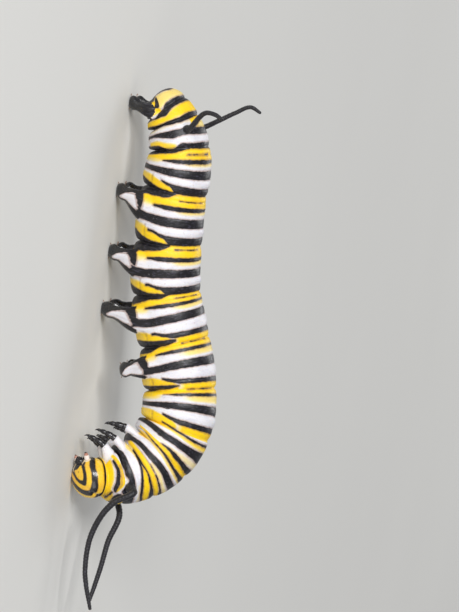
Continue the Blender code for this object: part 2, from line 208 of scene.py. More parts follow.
SKIN_STEP, SKIN_SIDES, TYPICAL_RADIUS = 0.0775, 178, 3.0
TAIL_ROWS = (0.004, 0.014, 0.032, 0.058)
# The rim of the skin that hugs the head: how far beyond the neck each row lies, and its radius, in mm.
COLLAR = ((0.07, 1.71), (0.15, 1.75), (0.22, 1.76), (0.27, 1.73), (0.28, 1.64), (0.22, 1.50), (0.05, 1.2), (-0.1, 0.6))

rows_s = np.concatenate([TAIL_ROWS, np.arange(SKIN_STEP, body_length, SKIN_STEP)])
around = np.arange(SKIN_SIDES) * 360 / SKIN_SIDES
around = (around + 180) % 360 - 180
s_grid, a_grid = np.meshgrid(rows_s, around, indexing="ij")
off_back = np.abs(a_grid)


def wander(points, size, seed, count=9):
    """A smooth random field from -1 to 1 over points in mm, whose lumps are about that size."""
    rng = np.random.default_rng(seed)
    waves = rng.normal(size=(count, 3)) / size * 1.6
    return np.sin(np.asarray(points) @ waves.T + rng.uniform(0, 2 * np.pi, count)).sum(-1) / count * 1.6


# The stripes. The rings from abdomen_07 to abdomen_02 share one scheme of stripes, which each ring shifts a
# little. For each: where the broad black band lies at the back, the flank and the belly, where the thin
# stripe starts and how far down it reaches, where the black wedge ends at the back and how far down its tail
# reaches, and where the fine broken line runs. Places are shares of the ring, and reaches are degrees.
SCHEME = {
    "abdomen_07": ((0.490, 0.530, 0.520), 0.240, 110, 1.000, 104, 0.130),
    "abdomen_06": ((0.575, 0.543, 0.455), 0.240, 110, 0.975, 116, 0.127),
    "abdomen_05": ((0.515, 0.543, 0.570), 0.215, 112, 0.970, 112, 0.055),
    "abdomen_04": ((0.447, 0.468, 0.505), 0.180, 117, 0.900, 112, 0.050),
    "abdomen_03": ((0.440, 0.478, 0.585), 0.150, 112, 0.890, 105, 0.010),
    "abdomen_02": ((0.483, 0.410, 0.410), 0.120, 105, 0.900, 104, -0.010),
}
BAND_WIDTH, THIN_WIDTH, RING_REACH = 0.17, 0.085, 0.62
# Places on a ring are brought to one scheme, in which the broad band lies between these shares, this far apart.
BAND_REAR, BAND_FRONT, BAND_SPAN, BEYOND_BAND = 0.46, 0.63, 0.17, 0.37
STRIPE_ROUND_OFF = 0.08
WEDGE_REAR = ((30, 0.820), (60, 0.815), (90, 0.790), (105, 0.740))
MM_PER_DEGREE = 0.055

# The shallow folds round a ring: place, depth in mm, and how far down they reach in degrees.
RING_FOLDS = ((0.31, 0.02, 120), (0.46, 0.03, 130), (0.635, 0.035, 135), (0.82, 0.03, 110))
FOLD_WIDTH, RELIEF_SCALE = 0.11, 1.5

# Where the black of the folds starts and ends low on the flanks: angle, and shares of the ring behind and of
# the ring ahead, for the fold behind the named ring.
FOLDS = {
    "abdomen_06": ((74, 0.985, 0.02), (90, 0.963, 0.10), (105, 0.947, 0.10), (120, 0.89, 0.11), (150, 0.80, 0.12)),
    "abdomen_05": ((74, 0.970, 0.00), (90, 0.946, 0.085), (105, 0.928, 0.113), (120, 0.89, 0.14), (150, 0.77, 0.16)),
    "abdomen_04": ((74, 0.950, -0.02), (90, 0.93, 0.04), (105, 0.92, 0.04), (120, 0.88, 0.073), (150, 0.80, 0.13)),
    "abdomen_03": ((74, 0.900, -0.06), (90, 0.885, 0.0), (105, 0.871, 0.013), (120, 0.85, 0.093), (150, 0.81, 0.12)),
    "abdomen_02": ((78, 0.895, -0.10), (90, 0.89, -0.05), (120, 0.89, -0.01), (135, 0.89, 0.02), (150, 0.88, 0.02)),
}

# Black stripes of the other rings: how far down they start and end, in degrees, then knots of angle, rear edge
# and front edge, in mm along the body from the tail tip.
BLACK = {
    "tail_plate_rim": (0, 74, ((0, 0.10, 0.62), (30, 0.08, 0.58), (45, 0.05, 0.35), (60, 0.03, 0.22), (75, 0.0, 0.10))),
    "tail_under": (128, 180, ((128, -1, 1.9), (180, -1, 1.9))),
    "tail_end": (78, 180, ((78, -1, 0.05), (95, -1, 0.32), (180, -1, 0.5))),
    "tail_streak": (84, 104, ((84, 0.30, 0.34), (93, 0.34, 1.20), (98, 0.62, 1.30), (104, 1.1, 1.15))),
    "fold_10_09": (0, 180, (
        (0, 1.44, 1.85), (15, 1.42, 1.85), (45, 1.33, 1.87), (60, 1.30, 1.89), (75, 1.33, 2.05), (90, 1.63, 2.30),
        (100, 1.70, 2.24), (115, 2.0, 2.20), (125, 1.98, 2.10), (135, 1.89, 2.03), (180, 1.8, 2.05),
    )),
    "fold_09_08": (0, 180, (
        (0, 2.71, 3.05), (15, 2.71, 3.09), (45, 2.72, 3.20), (60, 2.83, 3.26), (75, 2.85, 3.22), (90, 2.85, 3.20),
        (105, 2.85, 3.09), (120, 2.83, 3.12), (135, 2.70, 3.14), (180, 2.6, 3.2),
    )),
    "ring_8_line": (8, 46, ((8, 3.40, 3.50), (15, 3.38, 3.58), (30, 3.47, 3.85), (46, 3.72, 4.0))),
    "ring_8_band": (0, 180, (
        (0, 4.02, 4.50), (15, 4.05, 4.53), (45, 3.89, 4.45), (60, 3.85, 4.35), (75, 3.78, 4.37), (90, 3.73, 4.42),
        (105, 3.67, 4.20), (120, 3.60, 4.0), (135, 3.60, 3.87), (180, 3.55, 4.0),
    )),
    "fold_08_07": (0, 180, (
        (0, 5.07, 5.46), (30, 5.07, 5.46), (60, 5.02, 5.43), (75, 4.97, 5.54), (85, 5.22, 5.65), (105, 5.26, 5.73),
        (120, 4.90, 5.73), (135, 4.8, 5.8), (180, 4.7, 5.9),
    )),
    "ring_1_line": (0, 104, (
        (0, 31.31, 31.46), (30, 31.31, 31.46), (45, 31.27, 31.42), (60, 31.15, 31.32), (75, 31.05, 31.20),
        (90, 30.85, 31.0), (104, 30.66, 30.80),
    )),
    "ring_1_band": (0, 180, (
        (0, 31.84, 32.55), (15, 31.84, 32.53), (30, 31.86, 32.46), (60, 31.81, 32.37), (75, 31.75, 32.32),
        (90, 31.69, 32.30), (105, 31.50, 32.19), (120, 31.29, 31.99), (135, 31.15, 31.84), (180, 31.1, 31.9),
    )),
    "ring_1_wedge": (0, 92, (
        (0, 33.04, 33.42), (15, 33.04, 33.42), (30, 33.04, 33.37), (45, 32.96, 33.27), (60, 32.84, 33.19),
        (75, 32.76, 32.99), (92, 32.86, 32.90),
    )),
    "fold_1_3": (0, 126, (
        (0, 33.74, 34.08), (15, 33.72, 34.06), (30, 33.72, 33.99), (45, 33.69, 33.90), (60, 33.55, 33.77),
        (75, 33.42, 33.60), (90, 33.31, 33.45), (105, 33.22, 33.35), (126, 32.95, 33.05),
    )),
    "thorax_3_band": (0, 180, (
        (0, 34.41, 34.95), (15, 34.41, 34.92), (30, 34.40, 34.92), (45, 34.30, 34.84), (60, 34.24, 34.76),
        (75, 34.23, 34.80), (90, 34.33, 34.96), (105, 34.42, 35.03), (120, 34.53, 35.14), (135, 34.80, 35.42),
        (150, 35.0, 35.75), (180, 35.1, 35.9),
    )),
    "thorax_3_thin": (0, 84, (
        (0, 35.41, 35.65), (15, 35.41, 35.65), (30, 35.36, 35.53), (45, 35.29, 35.44), (60, 35.21, 35.31),
        (75, 35.18, 35.26), (84, 35.18, 35.24),
    )),
    "fold_3_2": (0, 128, (
        (0, 36.0, 36.47), (15, 36.0, 36.45), (30, 35.96, 36.36), (45, 35.93, 36.15), (60, 35.84, 36.0),
        (75, 35.79, 35.89), (90, 35.87, 36.0), (105, 35.87, 36.02), (128, 35.87, 36.02),
    )),
    "thorax_2_thin": (0, 112, (
        (0, 36.90, 37.06), (15, 36.91, 37.07), (30, 36.93, 37.12), (45, 36.80, 37.04), (60, 36.61, 36.87),
        (75, 36.34, 36.58), (90, 36.05, 36.30), (105, 36.0, 36.15), (112, 35.98, 36.08),
    )),
    "filament_band": (0, 180, (
        (0, 37.57, 38.12), (30, 37.57, 38.20), (45, 37.55, 38.20), (60, 37.38, 38.50), (68, 37.34, 38.30),
        (75, 37.30, 37.90), (90, 37.28, 38.04), (105, 37.34, 38.06), (120, 37.34, 38.12), (135, 37.42, 38.2),
        (150, 37.6, 38.5), (180, 37.6, 38.6),
    )),
    "thorax_1_rear": (0, 54, (
        (0, 38.66, 39.02), (15, 38.68, 39.03), (30, 38.68, 39.06), (45, 38.61, 39.02), (54, 38.5, 38.8),
    )),
    "thorax_1_arc": (56, 138, (
        (56, 38.98, 39.10), (65, 38.90, 39.18), (75, 38.76, 39.13), (90, 38.68, 39.03), (105, 38.63, 38.96),
        (120, 38.78, 39.03), (138, 38.97, 39.12),
    )),
    "thorax_1_front": (10, 56, ((10, 39.36, 39.46), (30, 39.34, 39.46), (56, 39.16, 39.28))),
    "neck_lip": (0, 180, ((0, 39.80, 41), (90, 39.82, 41), (180, 39.80, 41))),
}
# Fine brown lines, given as the black stripes are.
BROWN = {
    "thorax_1_hairline": (62, 118, (
        (62, 38.93, 38.96), (75, 38.56, 38.60), (90, 38.52, 38.56), (105, 38.47, 38.50), (118, 38.5, 38.52),
    )),
    "belly_3_2": (104, 150, ((104, 33.22, 33.30), (120, 33.0, 33.08), (150, 32.9, 33.0))),
    "thorax_3_hairline": (84, 150, ((84, 35.20, 35.23), (105, 35.26, 35.29), (150, 35.45, 35.48))),
}
# Yellow stripes: strength from pale to strong, softness of the edges in mm, then as the black ones.
YELLOW = {
    "tail": (0.62, 0.35, 0, 98, (
        (0, 0.60, 1.40), (30, 0.60, 1.36), (45, 0.45, 1.30), (60, 0.30, 1.25), (75, 0.25, 1.32), (98, 0.2, 1.5),
    )),
    "tail_low": (0.95, 0.12, 96, 134, ((96, 0.6, 1.66), (105, 0.36, 1.70), (134, 0.4, 1.8))),
    "ring_9": (0.92, 0.25, 0, 180, (
        (0, 1.85, 2.75), (45, 1.86, 2.75), (60, 1.95, 2.80), (75, 2.05, 2.85), (90, 2.30, 2.85), (105, 2.22, 2.86),
        (120, 2.12, 2.86), (180, 2.1, 2.9),
    )),
    "ring_8_rear": (0.95, 0.10, 0, 42, ((0, 3.0, 3.30), (15, 3.0, 3.38), (30, 3.10, 3.50), (42, 3.18, 3.6))),
    "ring_8_low": (0.30, 0.4, 40, 150, ((40, 3.1, 3.5), (60, 3.2, 3.45), (105, 3.1, 3.4), (150, 3.1, 3.5))),
    "ring_8_spot": (0.55, 0.12, 0, 33, ((0, 3.48, 4.05), (15, 3.56, 4.05), (33, 3.75, 4.0))),
    "ring_8_patch": (0.85, 0.25, 84, 150, (
        (84, 5.0, 5.2), (90, 4.90, 5.3), (105, 4.69, 5.3), (120, 4.38, 5.0), (150, 4.3, 5.0),
    )),
    "ring_7_rear": (1.0, 0.10, 0, 140, ((0, 5.40, 6.2), (90, 5.5, 6.2), (140, 5.5, 6.0))),
    "ring_1_rear": (0.85, 0.20, 0, 118, (
        (0, 31.40, 31.76), (30, 31.42, 31.75), (60, 31.30, 31.58), (90, 30.95, 31.25), (118, 30.7, 31.1),
    )),
    "ring_1_pale": (0.35, 0.30, 0, 110, ((0, 32.50, 33.0), (60, 32.55, 32.95), (75, 32.6, 32.8), (110, 32.4, 32.6))),
    "ring_1_front": (1.0, 0.09, 0, 145, (
        (0, 33.38, 33.76), (15, 33.40, 33.74), (45, 33.25, 33.70), (60, 33.14, 33.57), (75, 32.98, 33.43),
        (90, 32.90, 33.32), (105, 32.84, 33.24), (120, 32.68, 33.03), (145, 32.5, 32.8),
    )),
    "thorax_3_rear": (0.75, 0.20, 0, 150, (
        (0, 33.95, 34.16), (30, 33.96, 34.15), (60, 33.77, 33.99), (90, 33.48, 33.72), (120, 33.12, 33.60),
        (135, 33.2, 34.0), (150, 33.3, 34.1),
    )),
    "thorax_3_pale": (0.40, 0.25, 0, 84, ((0, 35.0, 35.42), (30, 35.03, 35.36), (60, 34.8, 35.22), (84, 34.9, 35.2))),
    "thorax_3_front": (1.0, 0.09, 0, 150, (
        (0, 35.62, 36.0), (15, 35.64, 35.98), (30, 35.56, 35.97), (45, 35.45, 35.94), (60, 35.33, 35.86),
        (75, 35.28, 35.80), (90, 35.26, 35.88), (105, 35.32, 35.86), (120, 35.42, 35.88), (150, 35.5, 35.9),
    )),
    "thorax_2_spot": (1.0, 0.08, 0, 88, (
        (0, 36.45, 36.90), (15, 36.45, 36.91), (30, 36.36, 36.94), (45, 36.17, 36.80), (60, 36.0, 36.62),
        (75, 35.88, 36.34), (88, 35.95, 36.06),
    )),
    "thorax_2_pale": (0.35, 0.25, 0, 60, ((0, 37.1, 37.3), (30, 37.1, 37.3), (60, 36.9, 37.1))),
    "thorax_2_low": (0.65, 0.30, 100, 150, (
        (100, 36.05, 36.2), (120, 36.0, 36.40), (135, 36.0, 36.70), (150, 36.0, 36.8),
    )),
    "thorax_1_spot": (1.0, 0.08, 0, 54, (
        (0, 38.20, 38.62), (15, 38.20, 38.62), (30, 38.2, 38.65), (45, 38.2, 38.5), (54, 38.25, 38.4),
    )),
    "thorax_1_arc_rear": (1.0, 0.07, 57, 156, (
        (57, 38.94, 39.06), (65, 38.66, 38.98), (75, 38.25, 38.76), (90, 38.19, 38.70), (105, 38.23, 38.64),
        (120, 38.38, 38.78), (135, 38.61, 38.95), (156, 38.9, 39.13),
    )),
    "thorax_1_front": (0.95, 0.14, 0, 146, (
        (0, 39.02, 41), (30, 39.05, 41), (45, 39.10, 41), (60, 39.32, 41), (75, 39.30, 41), (90, 39.22, 41),
        (146, 39.2, 41),
    )),
}


def lowest(a, b, round_off):
    """The lower of two distances, rounded off where they are nearly the same."""
    h = np.clip(0.5 + 0.5 * (b - a) / round_off, 0, 1)
    return b * (1 - h) + a * h - round_off * h * (1 - h)


def within(s, angle, start, end, knots):
    """How far inside a stripe each place lies, in mm, and less than nothing outside it."""
    knots = np.array(knots, float)
    rear = smooth(knots[:, 0], knots[:, 1], angle)
    front = smooth(knots[:, 0], knots[:, 2], angle)
    inside = np.minimum(s - rear, front - s)
    if start > 0:
        inside = lowest(inside, (angle - start) * MM_PER_DEGREE, STRIPE_ROUND_OFF)
    if end < 180:
        inside = lowest(inside, (end - angle) * MM_PER_DEGREE, STRIPE_ROUND_OFF)
    return inside


def ramp(x, low, high):
    """From 0 at low to 1 at high, easing in and out."""
    t = np.clip((x - low) / (high - low), 0, 1)
    return t * t * (3 - 2 * t)


# Black is kept as how far inside its edge a point lies, in mm: well inside it, or well outside.
ALL_BLACK, NO_BLACK = 0.3, -0.4
black = np.full(s_grid.shape, -1.0)
yellow = np.zeros(s_grid.shape)
relief = np.zeros(s_grid.shape)
for start, end, knots in BLACK.values():
    black = np.maximum(black, within(s_grid, off_back, start, end, knots))
for start, end, knots in BROWN.values():
    black = np.maximum(black, np.minimum(within(s_grid, off_back, start, end, knots), -0.045))
for strength, soft, start, end, knots in YELLOW.values():
    amount = np.clip(within(s_grid, off_back, start, end, knots) / soft + 0.5, 0, 1)
    yellow = np.maximum(yellow, strength * amount)

# On each ring of the scheme, u is a place's real share of the ring, and v its share in the common scheme.
for name, (centres, thin, thin_end, wedge_front, wedge_end, dash) in SCHEME.items():
    i = ring_names.index(name)
    length, start_s = lengths[i], edges[i]
    near = np.abs(s_grid - middles[i]) < length * RING_REACH
    a, u = off_back[near], (s_grid[near] - start_s) / length
    middle = smooth((0, 90, 150), centres, a)
    half = BAND_WIDTH / 2 * (1 - 0.22 * ramp(a, 90, 140))
    rear, front = middle - half, middle + half
    v = np.where(u < rear, u * BAND_REAR / rear, BAND_FRONT + (u - front) * BEYOND_BAND / (1 - front))
    v = np.where((u >= rear) & (u <= front), BAND_REAR + BAND_SPAN * (u - rear) / (2 * half), v)
    scale_rear, scale_front = length * rear / BAND_REAR, length * (1 - front) / BEYOND_BAND
    # The broad band, and the thin stripe behind it, which tapers at the back and at its lower end.
    dark = np.minimum(u - rear, front - u) * length
    stripe = np.minimum(v - thin, thin + THIN_WIDTH - v) * scale_rear
    stripe -= 0.05 * (1 - ramp(a, 0, 30)) + 0.10 * ramp(a, thin_end - 26, thin_end)
    dark = np.maximum(dark, lowest(stripe, (thin_end - a) * MM_PER_DEGREE, STRIPE_ROUND_OFF))
    # The wedge in front of the band, which narrows to a tail down the flank.
    tail = ramp(a, 74, 88)
    lower = smooth(*np.array(WEDGE_REAR).T, a)
    upper = wedge_front * (1 - tail) + (lower + 0.062 - 0.02 * ramp(a, 90, 110)) * tail
    wedge = np.minimum((v - lower) * scale_front, (upper - v) * scale_front)
    dark = np.maximum(dark, lowest(wedge, (wedge_end - a) * MM_PER_DEGREE, STRIPE_ROUND_OFF))
    # The fine broken line over the back, and a brown line of painted shade along the crease low on the flank.
    fine = 0.045 - np.abs(u - dash) * length
    fine = lowest(lowest(fine, (a - 12) * MM_PER_DEGREE, 0.05), (66 - a) * MM_PER_DEGREE, 0.05)
    fine -= 0.03 * ramp(np.sin(a * 0.21 + 2.1 * i), 0.2, 0.9)
    dark = np.maximum(dark, np.minimum(fine, 0.03))
    crease_and_painted_shade = 0.03 - np.abs(a - 124 - 6 * (u - 0.75)) * MM_PER_DEGREE
    crease_and_painted_shade = lowest(crease_and_painted_shade, np.minimum(u - 0.64, 0.93 - u) * length, 0.1)
    # Along the crease the black is held just short of its edge, so the brown fringe colour paints a line of shade into
    # the fold.
    dark = np.maximum(dark, np.minimum(crease_and_painted_shade, -0.09))
    black[near] = np.maximum(black[near], dark)
    # Yellow: the strong field behind the thin stripe, the pale one before it, the front edge and the flank's patch.
    low_flank = ramp(a, 100, 124)
    rear_field = 1 - ramp(v, thin + 0.02, thin + 0.06)
    rear_low = 0.95 * (1 - ramp(v, 0.16, 0.44))
    field = np.where(u > -0.02, rear_field * (1 - low_flank) + rear_low * low_flank, 0)
    pale = 0.62 * ramp(v, thin + 0.05, thin + 0.08) * (1 - ramp(v, 0.30, 0.44)) * (1 - ramp(a, 45, 88))
    beyond = ramp(v, wedge_front - 0.03, wedge_front) * (1 - ramp(a, 66, 82))
    patch_rear = smooth((80, 90, 105, 114, 124, 150), (0.90, 0.82, 0.77, 0.735, 0.70, 0.68), a)
    patch = ramp(v, patch_rear - 0.015, patch_rear + 0.05) * ramp(a, 76, 82) * (1 - 0.2 * ramp(a, 112, 140))
    field = np.maximum.reduce([field * (v < 0.45), pale * (v < 0.46), beyond, patch])
    yellow[near] = np.maximum(yellow[near], field * ((u < 1.0) | (v < 1.03)))
    # The ring's shallow folds, and the swell between them.
    for at, fold_place, depth, reach in ((u, dash, 0.035, 100), *((v, *fold) for fold in RING_FOLDS)):
        fold = depth * np.exp(-(((at - fold_place) * length / FOLD_WIDTH) ** 2))
        relief[near] -= fold * (1 - ramp(a, reach - 20, reach))
    relief[near] -= 0.04 * np.exp(-((crease_and_painted_shade - 0.03) / 0.10) ** 2) * ((u > 0.6) & (u < 0.97))
    relief[near] += 0.05 * np.exp(-(((v - 0.725) * length / 0.32) ** 2)) * (1 - ramp(a, 110, 140))
for name, knots in FOLDS.items():
    i = ring_names.index(name)
    knots = [
        (angle, edges[i - 1] + rear * lengths[i - 1], edges[i] + front * lengths[i]) for angle, rear, front in knots
    ]
    black = np.maximum(black, within(s_grid, off_back, knots[0][0], 180, knots))

# Folds where the rings meet are sharper than in the solids, and the whole skin is a little uneven.
for edge in edges[1:-1]:
    relief -= (0.035 + 0.10 * ramp(off_back, 60, 130)) * np.exp(-(((s_grid - edge) / 0.13) ** 2))
plain = skin_at(s_grid, a_grid)
relief *= RELIEF_SCALE
relief += 0.034 * wander(plain, 1.3, 4) + 0.012 * wander(plain, 0.35, 5, 14)
rings_fine = np.sin(s_grid * 11 + 2.2 * wander(plain, 1.1, 6)) * np.clip(wander(plain, 1.6, 7), 0, 1)
relief += 0.010 * rings_fine
points = skin_at(s_grid, a_grid, relief * np.clip(s_grid / 0.5, 0, 1))

# The prolegs: soft legs without joints, drawn out of the same skin, each ending in a harder, glossy black foot.
# Ring, place along it, angle, half length of the root, and the foot's place ahead, aside and up.
PROLEGS = {
    "proleg_a10": ("abdomen_10", 0.62, 128, 0.78, 0.20, 1.35, 0.0),
    "proleg_a6": ("abdomen_06", 0.33, 138, 1.25, -0.92, 1.60, 0.0),
    "proleg_a5": ("abdomen_05", 0.40, 138, 1.20, -0.40, 1.60, 0.0),
    "proleg_a4": ("abdomen_04", 0.42, 138, 1.20, 0.28, 1.60, 0.0),
    "proleg_a3": ("abdomen_03", 0.44, 136, 1.18, 1.35, 1.50, 2.45),
}
PROLEG_ROOT_ANGLE, PROLEG_ZONE, LEG_MM_PER_DEGREE = 24, 1.6, 0.018
FOOT_HALF_LENGTH, FOOT_HALF_WIDTH, FOOT_TILT = 0.66, 0.50, 14
SOLE_SHARE = 0.32
# How much a proleg narrows halfway down, then where its waist and its ankle lie, how long and how wide they are.
SLIMMING, WAIST, ANKLE = 0.14, (0.66, 0.08, -0.13), (0.85, 0.09, 0.13)
# The white patch on a proleg's outer face: angle round the leg from ahead, then the shares of the leg's length
# between which it lies. Above it the flank's stripes go on, and below it the foot is black.
PATCH = (
    (-180, 0.05, 0.05), (-160, 0.16, 0.16), (-146, 0.30, 0.40), (-120, 0.33, 0.60), (-90, 0.33, 0.76),
    (-60, 0.31, 0.88), (-40, 0.29, 0.90), (-30, 0.18, 0.70), (0, 0.05, 0.05), (180, 0.05, 0.05),
)
PATCH_FRONT, PATCH_REAR, FIRST_PATCH_LOWER = -42, -150, 0.10
gloss = np.zeros(s_grid.shape)
feet = {}


def proleg_axes(row, side):
    """The root's place; the foot's centre and ways along and inwards; out from the root, down, and the reach."""
    ring, place, angle, _, ahead, aside, up = row
    s = along_ring(ring, place)
    centre = body_frame(s)[0]
    right = direction(0.0, 90.0)
    foot = centre + np.array([ahead, 0, 0]) + right * side * aside
    foot[2] = up
    tilt = math.radians(FOOT_TILT if up else 0)
    along = np.array([math.cos(tilt), 0, math.sin(tilt)])
    inwards = -side * right
    middle = skin_at(s, side * angle)
    outwards = (middle - centre) / np.linalg.norm(middle - centre)
    return s, foot, along, inwards, outwards, np.cross(along, inwards) * -side, np.linalg.norm(foot - middle)


def proleg_points(row, side, share, turn):
    """Points on a proleg, at shares of its length from the root, and turns round it from ahead, in radians."""
    s, foot, along, inwards, outwards, down, reach = proleg_axes(row, side)
    angle, half_length = row[2], row[3]

    def rim(t):
        return skin_at(s + half_length * np.cos(t), side * (angle + PROLEG_ROOT_ANGLE * np.sin(t)))

    def sole(t):
        return foot + FOOT_HALF_LENGTH * np.cos(t)[..., None] * along + FOOT_HALF_WIDTH * np.sin(t)[..., None] * inwards

    ease = (share * share * (3 - 2 * share))[..., None]
    bend = (share * (1 - share) ** 2 * reach)[..., None] * outwards
    bend = bend - (share**2 * (1 - share) * reach)[..., None] * down
    middle = (1 - ease) * rim(np.linspace(0, 2 * np.pi, 16, endpoint=False)).mean(0) + ease * foot + bend
    ring = (1 - ease) * rim(turn) + ease * sole(turn) + bend
    size = 1 - SLIMMING * np.sin(np.pi * share) ** 2
    for at, wide, swell in (WAIST, ANKLE):
        size = size + swell * np.exp(-(((share - at) / wide) ** 2))
    return middle + (ring - middle) * size[..., None]


blend = np.zeros(s_grid.shape)
for name, row in PROLEGS.items():
    for side in (1, -1):
        s, *feet[name, side] = proleg_axes(row, side)[:4]
        foot = feet[name, side][0]
        x, y = (s_grid - s) / row[3], (a_grid * side - row[2]) / PROLEG_ROOT_ANGLE
        radius, turn = np.hypot(x, y), np.arctan2(y, x)
        zone = radius < PROLEG_ZONE
        degrees = np.degrees(turn)
        share = (1 - radius) / (1 - SOLE_SHARE)
        top, bottom = [np.interp(degrees, *np.array(PATCH).T[[0, k]]) for k in (1, 2)]
        if name == "proleg_a3":
            bottom = bottom + FIRST_PATCH_LOWER
        # The foot is black below the patch, before it and behind it, and a dark rim runs over its top.
        around_leg = LEG_MM_PER_DEGREE * np.clip(radius, 0.4, 1)
        front, rear = (degrees - PATCH_FRONT) * around_leg, (PATCH_REAR - degrees) * around_leg
        dark = np.maximum.reduce([(share - bottom) * 2.4, np.minimum(front, 0.3), rear])
        rim_line = np.interp(degrees, (-172, -120, -85, -50), (0.30, 0.23, 0.15, 0.04)) - np.abs(share - top) * 2.0
        rim_line = np.where((degrees > -172) & (degrees < -40), rim_line, -1)
        if name == "proleg_a10":
            dark, top, rim_line = np.full(dark.shape, ALL_BLACK), 0.0, rim_line * 0 - 1
        fade = ramp(share, top - 0.03, top + 0.03)
        mixed = np.maximum(dark * fade + black * (1 - fade), rim_line)
        black[zone] = mixed[zone]
        yellow[zone] = (yellow * (1 - fade))[zone]
        gloss[zone] = np.maximum(gloss, ramp(share, 0.38, 0.62))[zone]
        # The skin within the root is drawn out into the leg and closed by the flat sole.
        inside = radius < 1
        share = np.clip((1 - radius[inside]) / (1 - SOLE_SHARE), 0, 1)
        moved = proleg_points(row, side, share, turn[inside])
        in_sole = np.clip(radius[inside] / SOLE_SHARE, 0, 1)[:, None]
        points[inside] = foot + (moved - foot) * np.where(share >= 1, in_sole[:, 0], 1)[:, None]
        blend = np.maximum(blend, np.exp(-(((radius - 1.02) / 0.16) ** 2)))
        blend = np.maximum(blend, 0.4 * np.exp(-(((radius - SOLE_SHARE) / 0.07) ** 2)))

# The hips of the thoracic legs: soft white sleeves of the same skin, in which the hard legs are hinged.
# Ring, place, angle, and where the claw's tip lies from the root: ahead, aside and up.
LEGS = {
    "leg_t3": ("thorax_3", 0.32, 150, (-0.22, 0.30, -2.60)),
    "leg_t2": ("thorax_2", 0.48, 150, (-0.90, 0.30, -2.40)),
    "leg_t1": ("thorax_1", 0.64, 166, (-1.15, 0.20, -2.35)),
}
# The left legs are drawn in, and reach this share as far.
LEFT_REACH = 0.72
HIP_HALF_LENGTH, HIP_ANGLE, HIP_SHARE, HIP_RADIUS = 0.54, 12, 0.20, 0.40
HIP_FLAT, LEG_BOW = 0.45, 0.25


def leg_path(row, side):
    """The root, the knee's pull point and the claw's tip of a leg, in mm, and the way ahead at its root."""
    ring, place, angle, (forward, aside, up) = row
    s = along_ring(ring, place)
    centre, ahead, _, _ = body_frame(s)
    start = skin_at(s, side * angle, CAD_GAP)
    outwards = (start - centre) / np.linalg.norm(start - centre)
    tip = start + np.array([forward, -side * aside, up]) * (1 if side > 0 else LEFT_REACH)
    return s, start, (start + tip) / 2 + outwards * LEG_BOW * 2, tip, ahead


def on_path(path, t):
    """Points along a leg's path, at shares of its length."""
    start, knee, tip = path[1:4]
    t = np.asarray(t, float)[..., None]
    return (1 - t) ** 2 * start + 2 * t * (1 - t) * knee + t**2 * tip


def path_ring(path, side, at, radius, turn):
    """Points round a leg's path, square to it."""
    way = on_path(path, at + 0.02) - on_path(path, at - 0.02)
    way /= np.linalg.norm(way, axis=-1, keepdims=True)
    across = path[4] - way * (path[4] * way).sum(-1, keepdims=True)
    across /= np.linalg.norm(across, axis=-1, keepdims=True)
    other = np.cross(across, way) * side
    return on_path(path, at) + radius[..., None] * (np.cos(turn)[..., None] * across + np.sin(turn)[..., None] * other)


for name, row in LEGS.items():
    for side in (1, -1):
        path = leg_path(row, side)
        x, y = (s_grid - path[0]) / HIP_HALF_LENGTH, (a_grid * side - row[2]) / HIP_ANGLE
        radius, turn = np.hypot(x, y), np.arctan2(y, x)
        inside = radius < 1
        share = np.clip((1 - radius[inside]) / (1 - HIP_FLAT), 0, 1)
        ease = (share * share * (3 - 2 * share))[:, None]
        at, angle = HIP_HALF_LENGTH * np.cos(turn[inside]), HIP_ANGLE * np.sin(turn[inside])
        rim = skin_at(path[0] + at, side * (row[2] + angle))
        tube = path_ring(path, side, HIP_SHARE * share, HIP_RADIUS * (1.18 - 0.18 * share), turn[inside])
        moved = (1 - ease) * rim + ease * tube
        flat = np.where(share >= 1, radius[inside] / HIP_FLAT, 1)[:, None]
        centre = on_path(path, HIP_SHARE)
        points[inside] = centre + (moved - centre) * flat
        fade = 1 - ramp(radius, 0.95, 1.25)
        black = black * (1 - fade) + NO_BLACK * fade
        yellow = yellow * ramp(radius, 1.0, 1.5)
        blend = np.maximum(blend, np.exp(-(((radius - 1.02) / 0.22) ** 2)))

# The folds where the legs grow out are rounded off.
BLEND_ROUNDS, BLEND_STRENGTH = 14, 0.8
for _ in range(BLEND_ROUNDS):
    beside = np.roll(points, 1, 1) + np.roll(points, -1, 1)
    beside[1:-1] += points[2:] + points[:-2]
    beside[[0, -1]] *= 2
    points += (beside / 4 - points) * (BLEND_STRENGTH * blend)[..., None]
points[..., 2] = np.maximum(points[..., 2], 0.0)

# The skin ends in a rim that rolls in against the neck of the head capsule.
centre, ahead, back, right = body_frame(body_length)
turn = np.radians(around)
collar = [
    centre + ahead * along + (np.cos(turn)[:, None] * back + np.sin(turn)[:, None] * right) * radius
    for along, radius in COLLAR
]
skin_points, skin_faces = closed_tube([*points, *collar], line_points[0], centre - ahead * 0.2)
mm_round = np.radians(a_grid) * TYPICAL_RADIUS
collar_black = [-0.3, -0.2, -0.05, 0.1, *[ALL_BLACK] * 4]
COLLAR_YELLOW = 0.95


def on_skin(values, rim, ends):
    """One value for each point of the skin."""
    rim = np.repeat(np.asarray(rim, float)[:, None], SKIN_SIDES, 1)
    return np.concatenate([values.reshape(-1), rim.reshape(-1), ends])


def hex_colour(text):
    """The linear red, green, blue and alpha of an sRGB hex value."""
    channels = [int(text[k : k + 2], 16) / 255 for k in (1, 3, 5)]
    return *[c / 12.92 if c <= 0.04045 else ((c + 0.055) / 1.055) ** 2.4 for c in channels], 1.0


def set_inputs(tree, node, inputs):
    """Gives a node its inputs. Each is a value, or another node's output to link."""
    for socket, value in inputs.items() if isinstance(inputs, dict) else enumerate(inputs):
        if isinstance(value, bpy.types.NodeSocket):
            tree.links.new(value, node.inputs[socket])
        else:
            node.inputs[socket].default_value = value


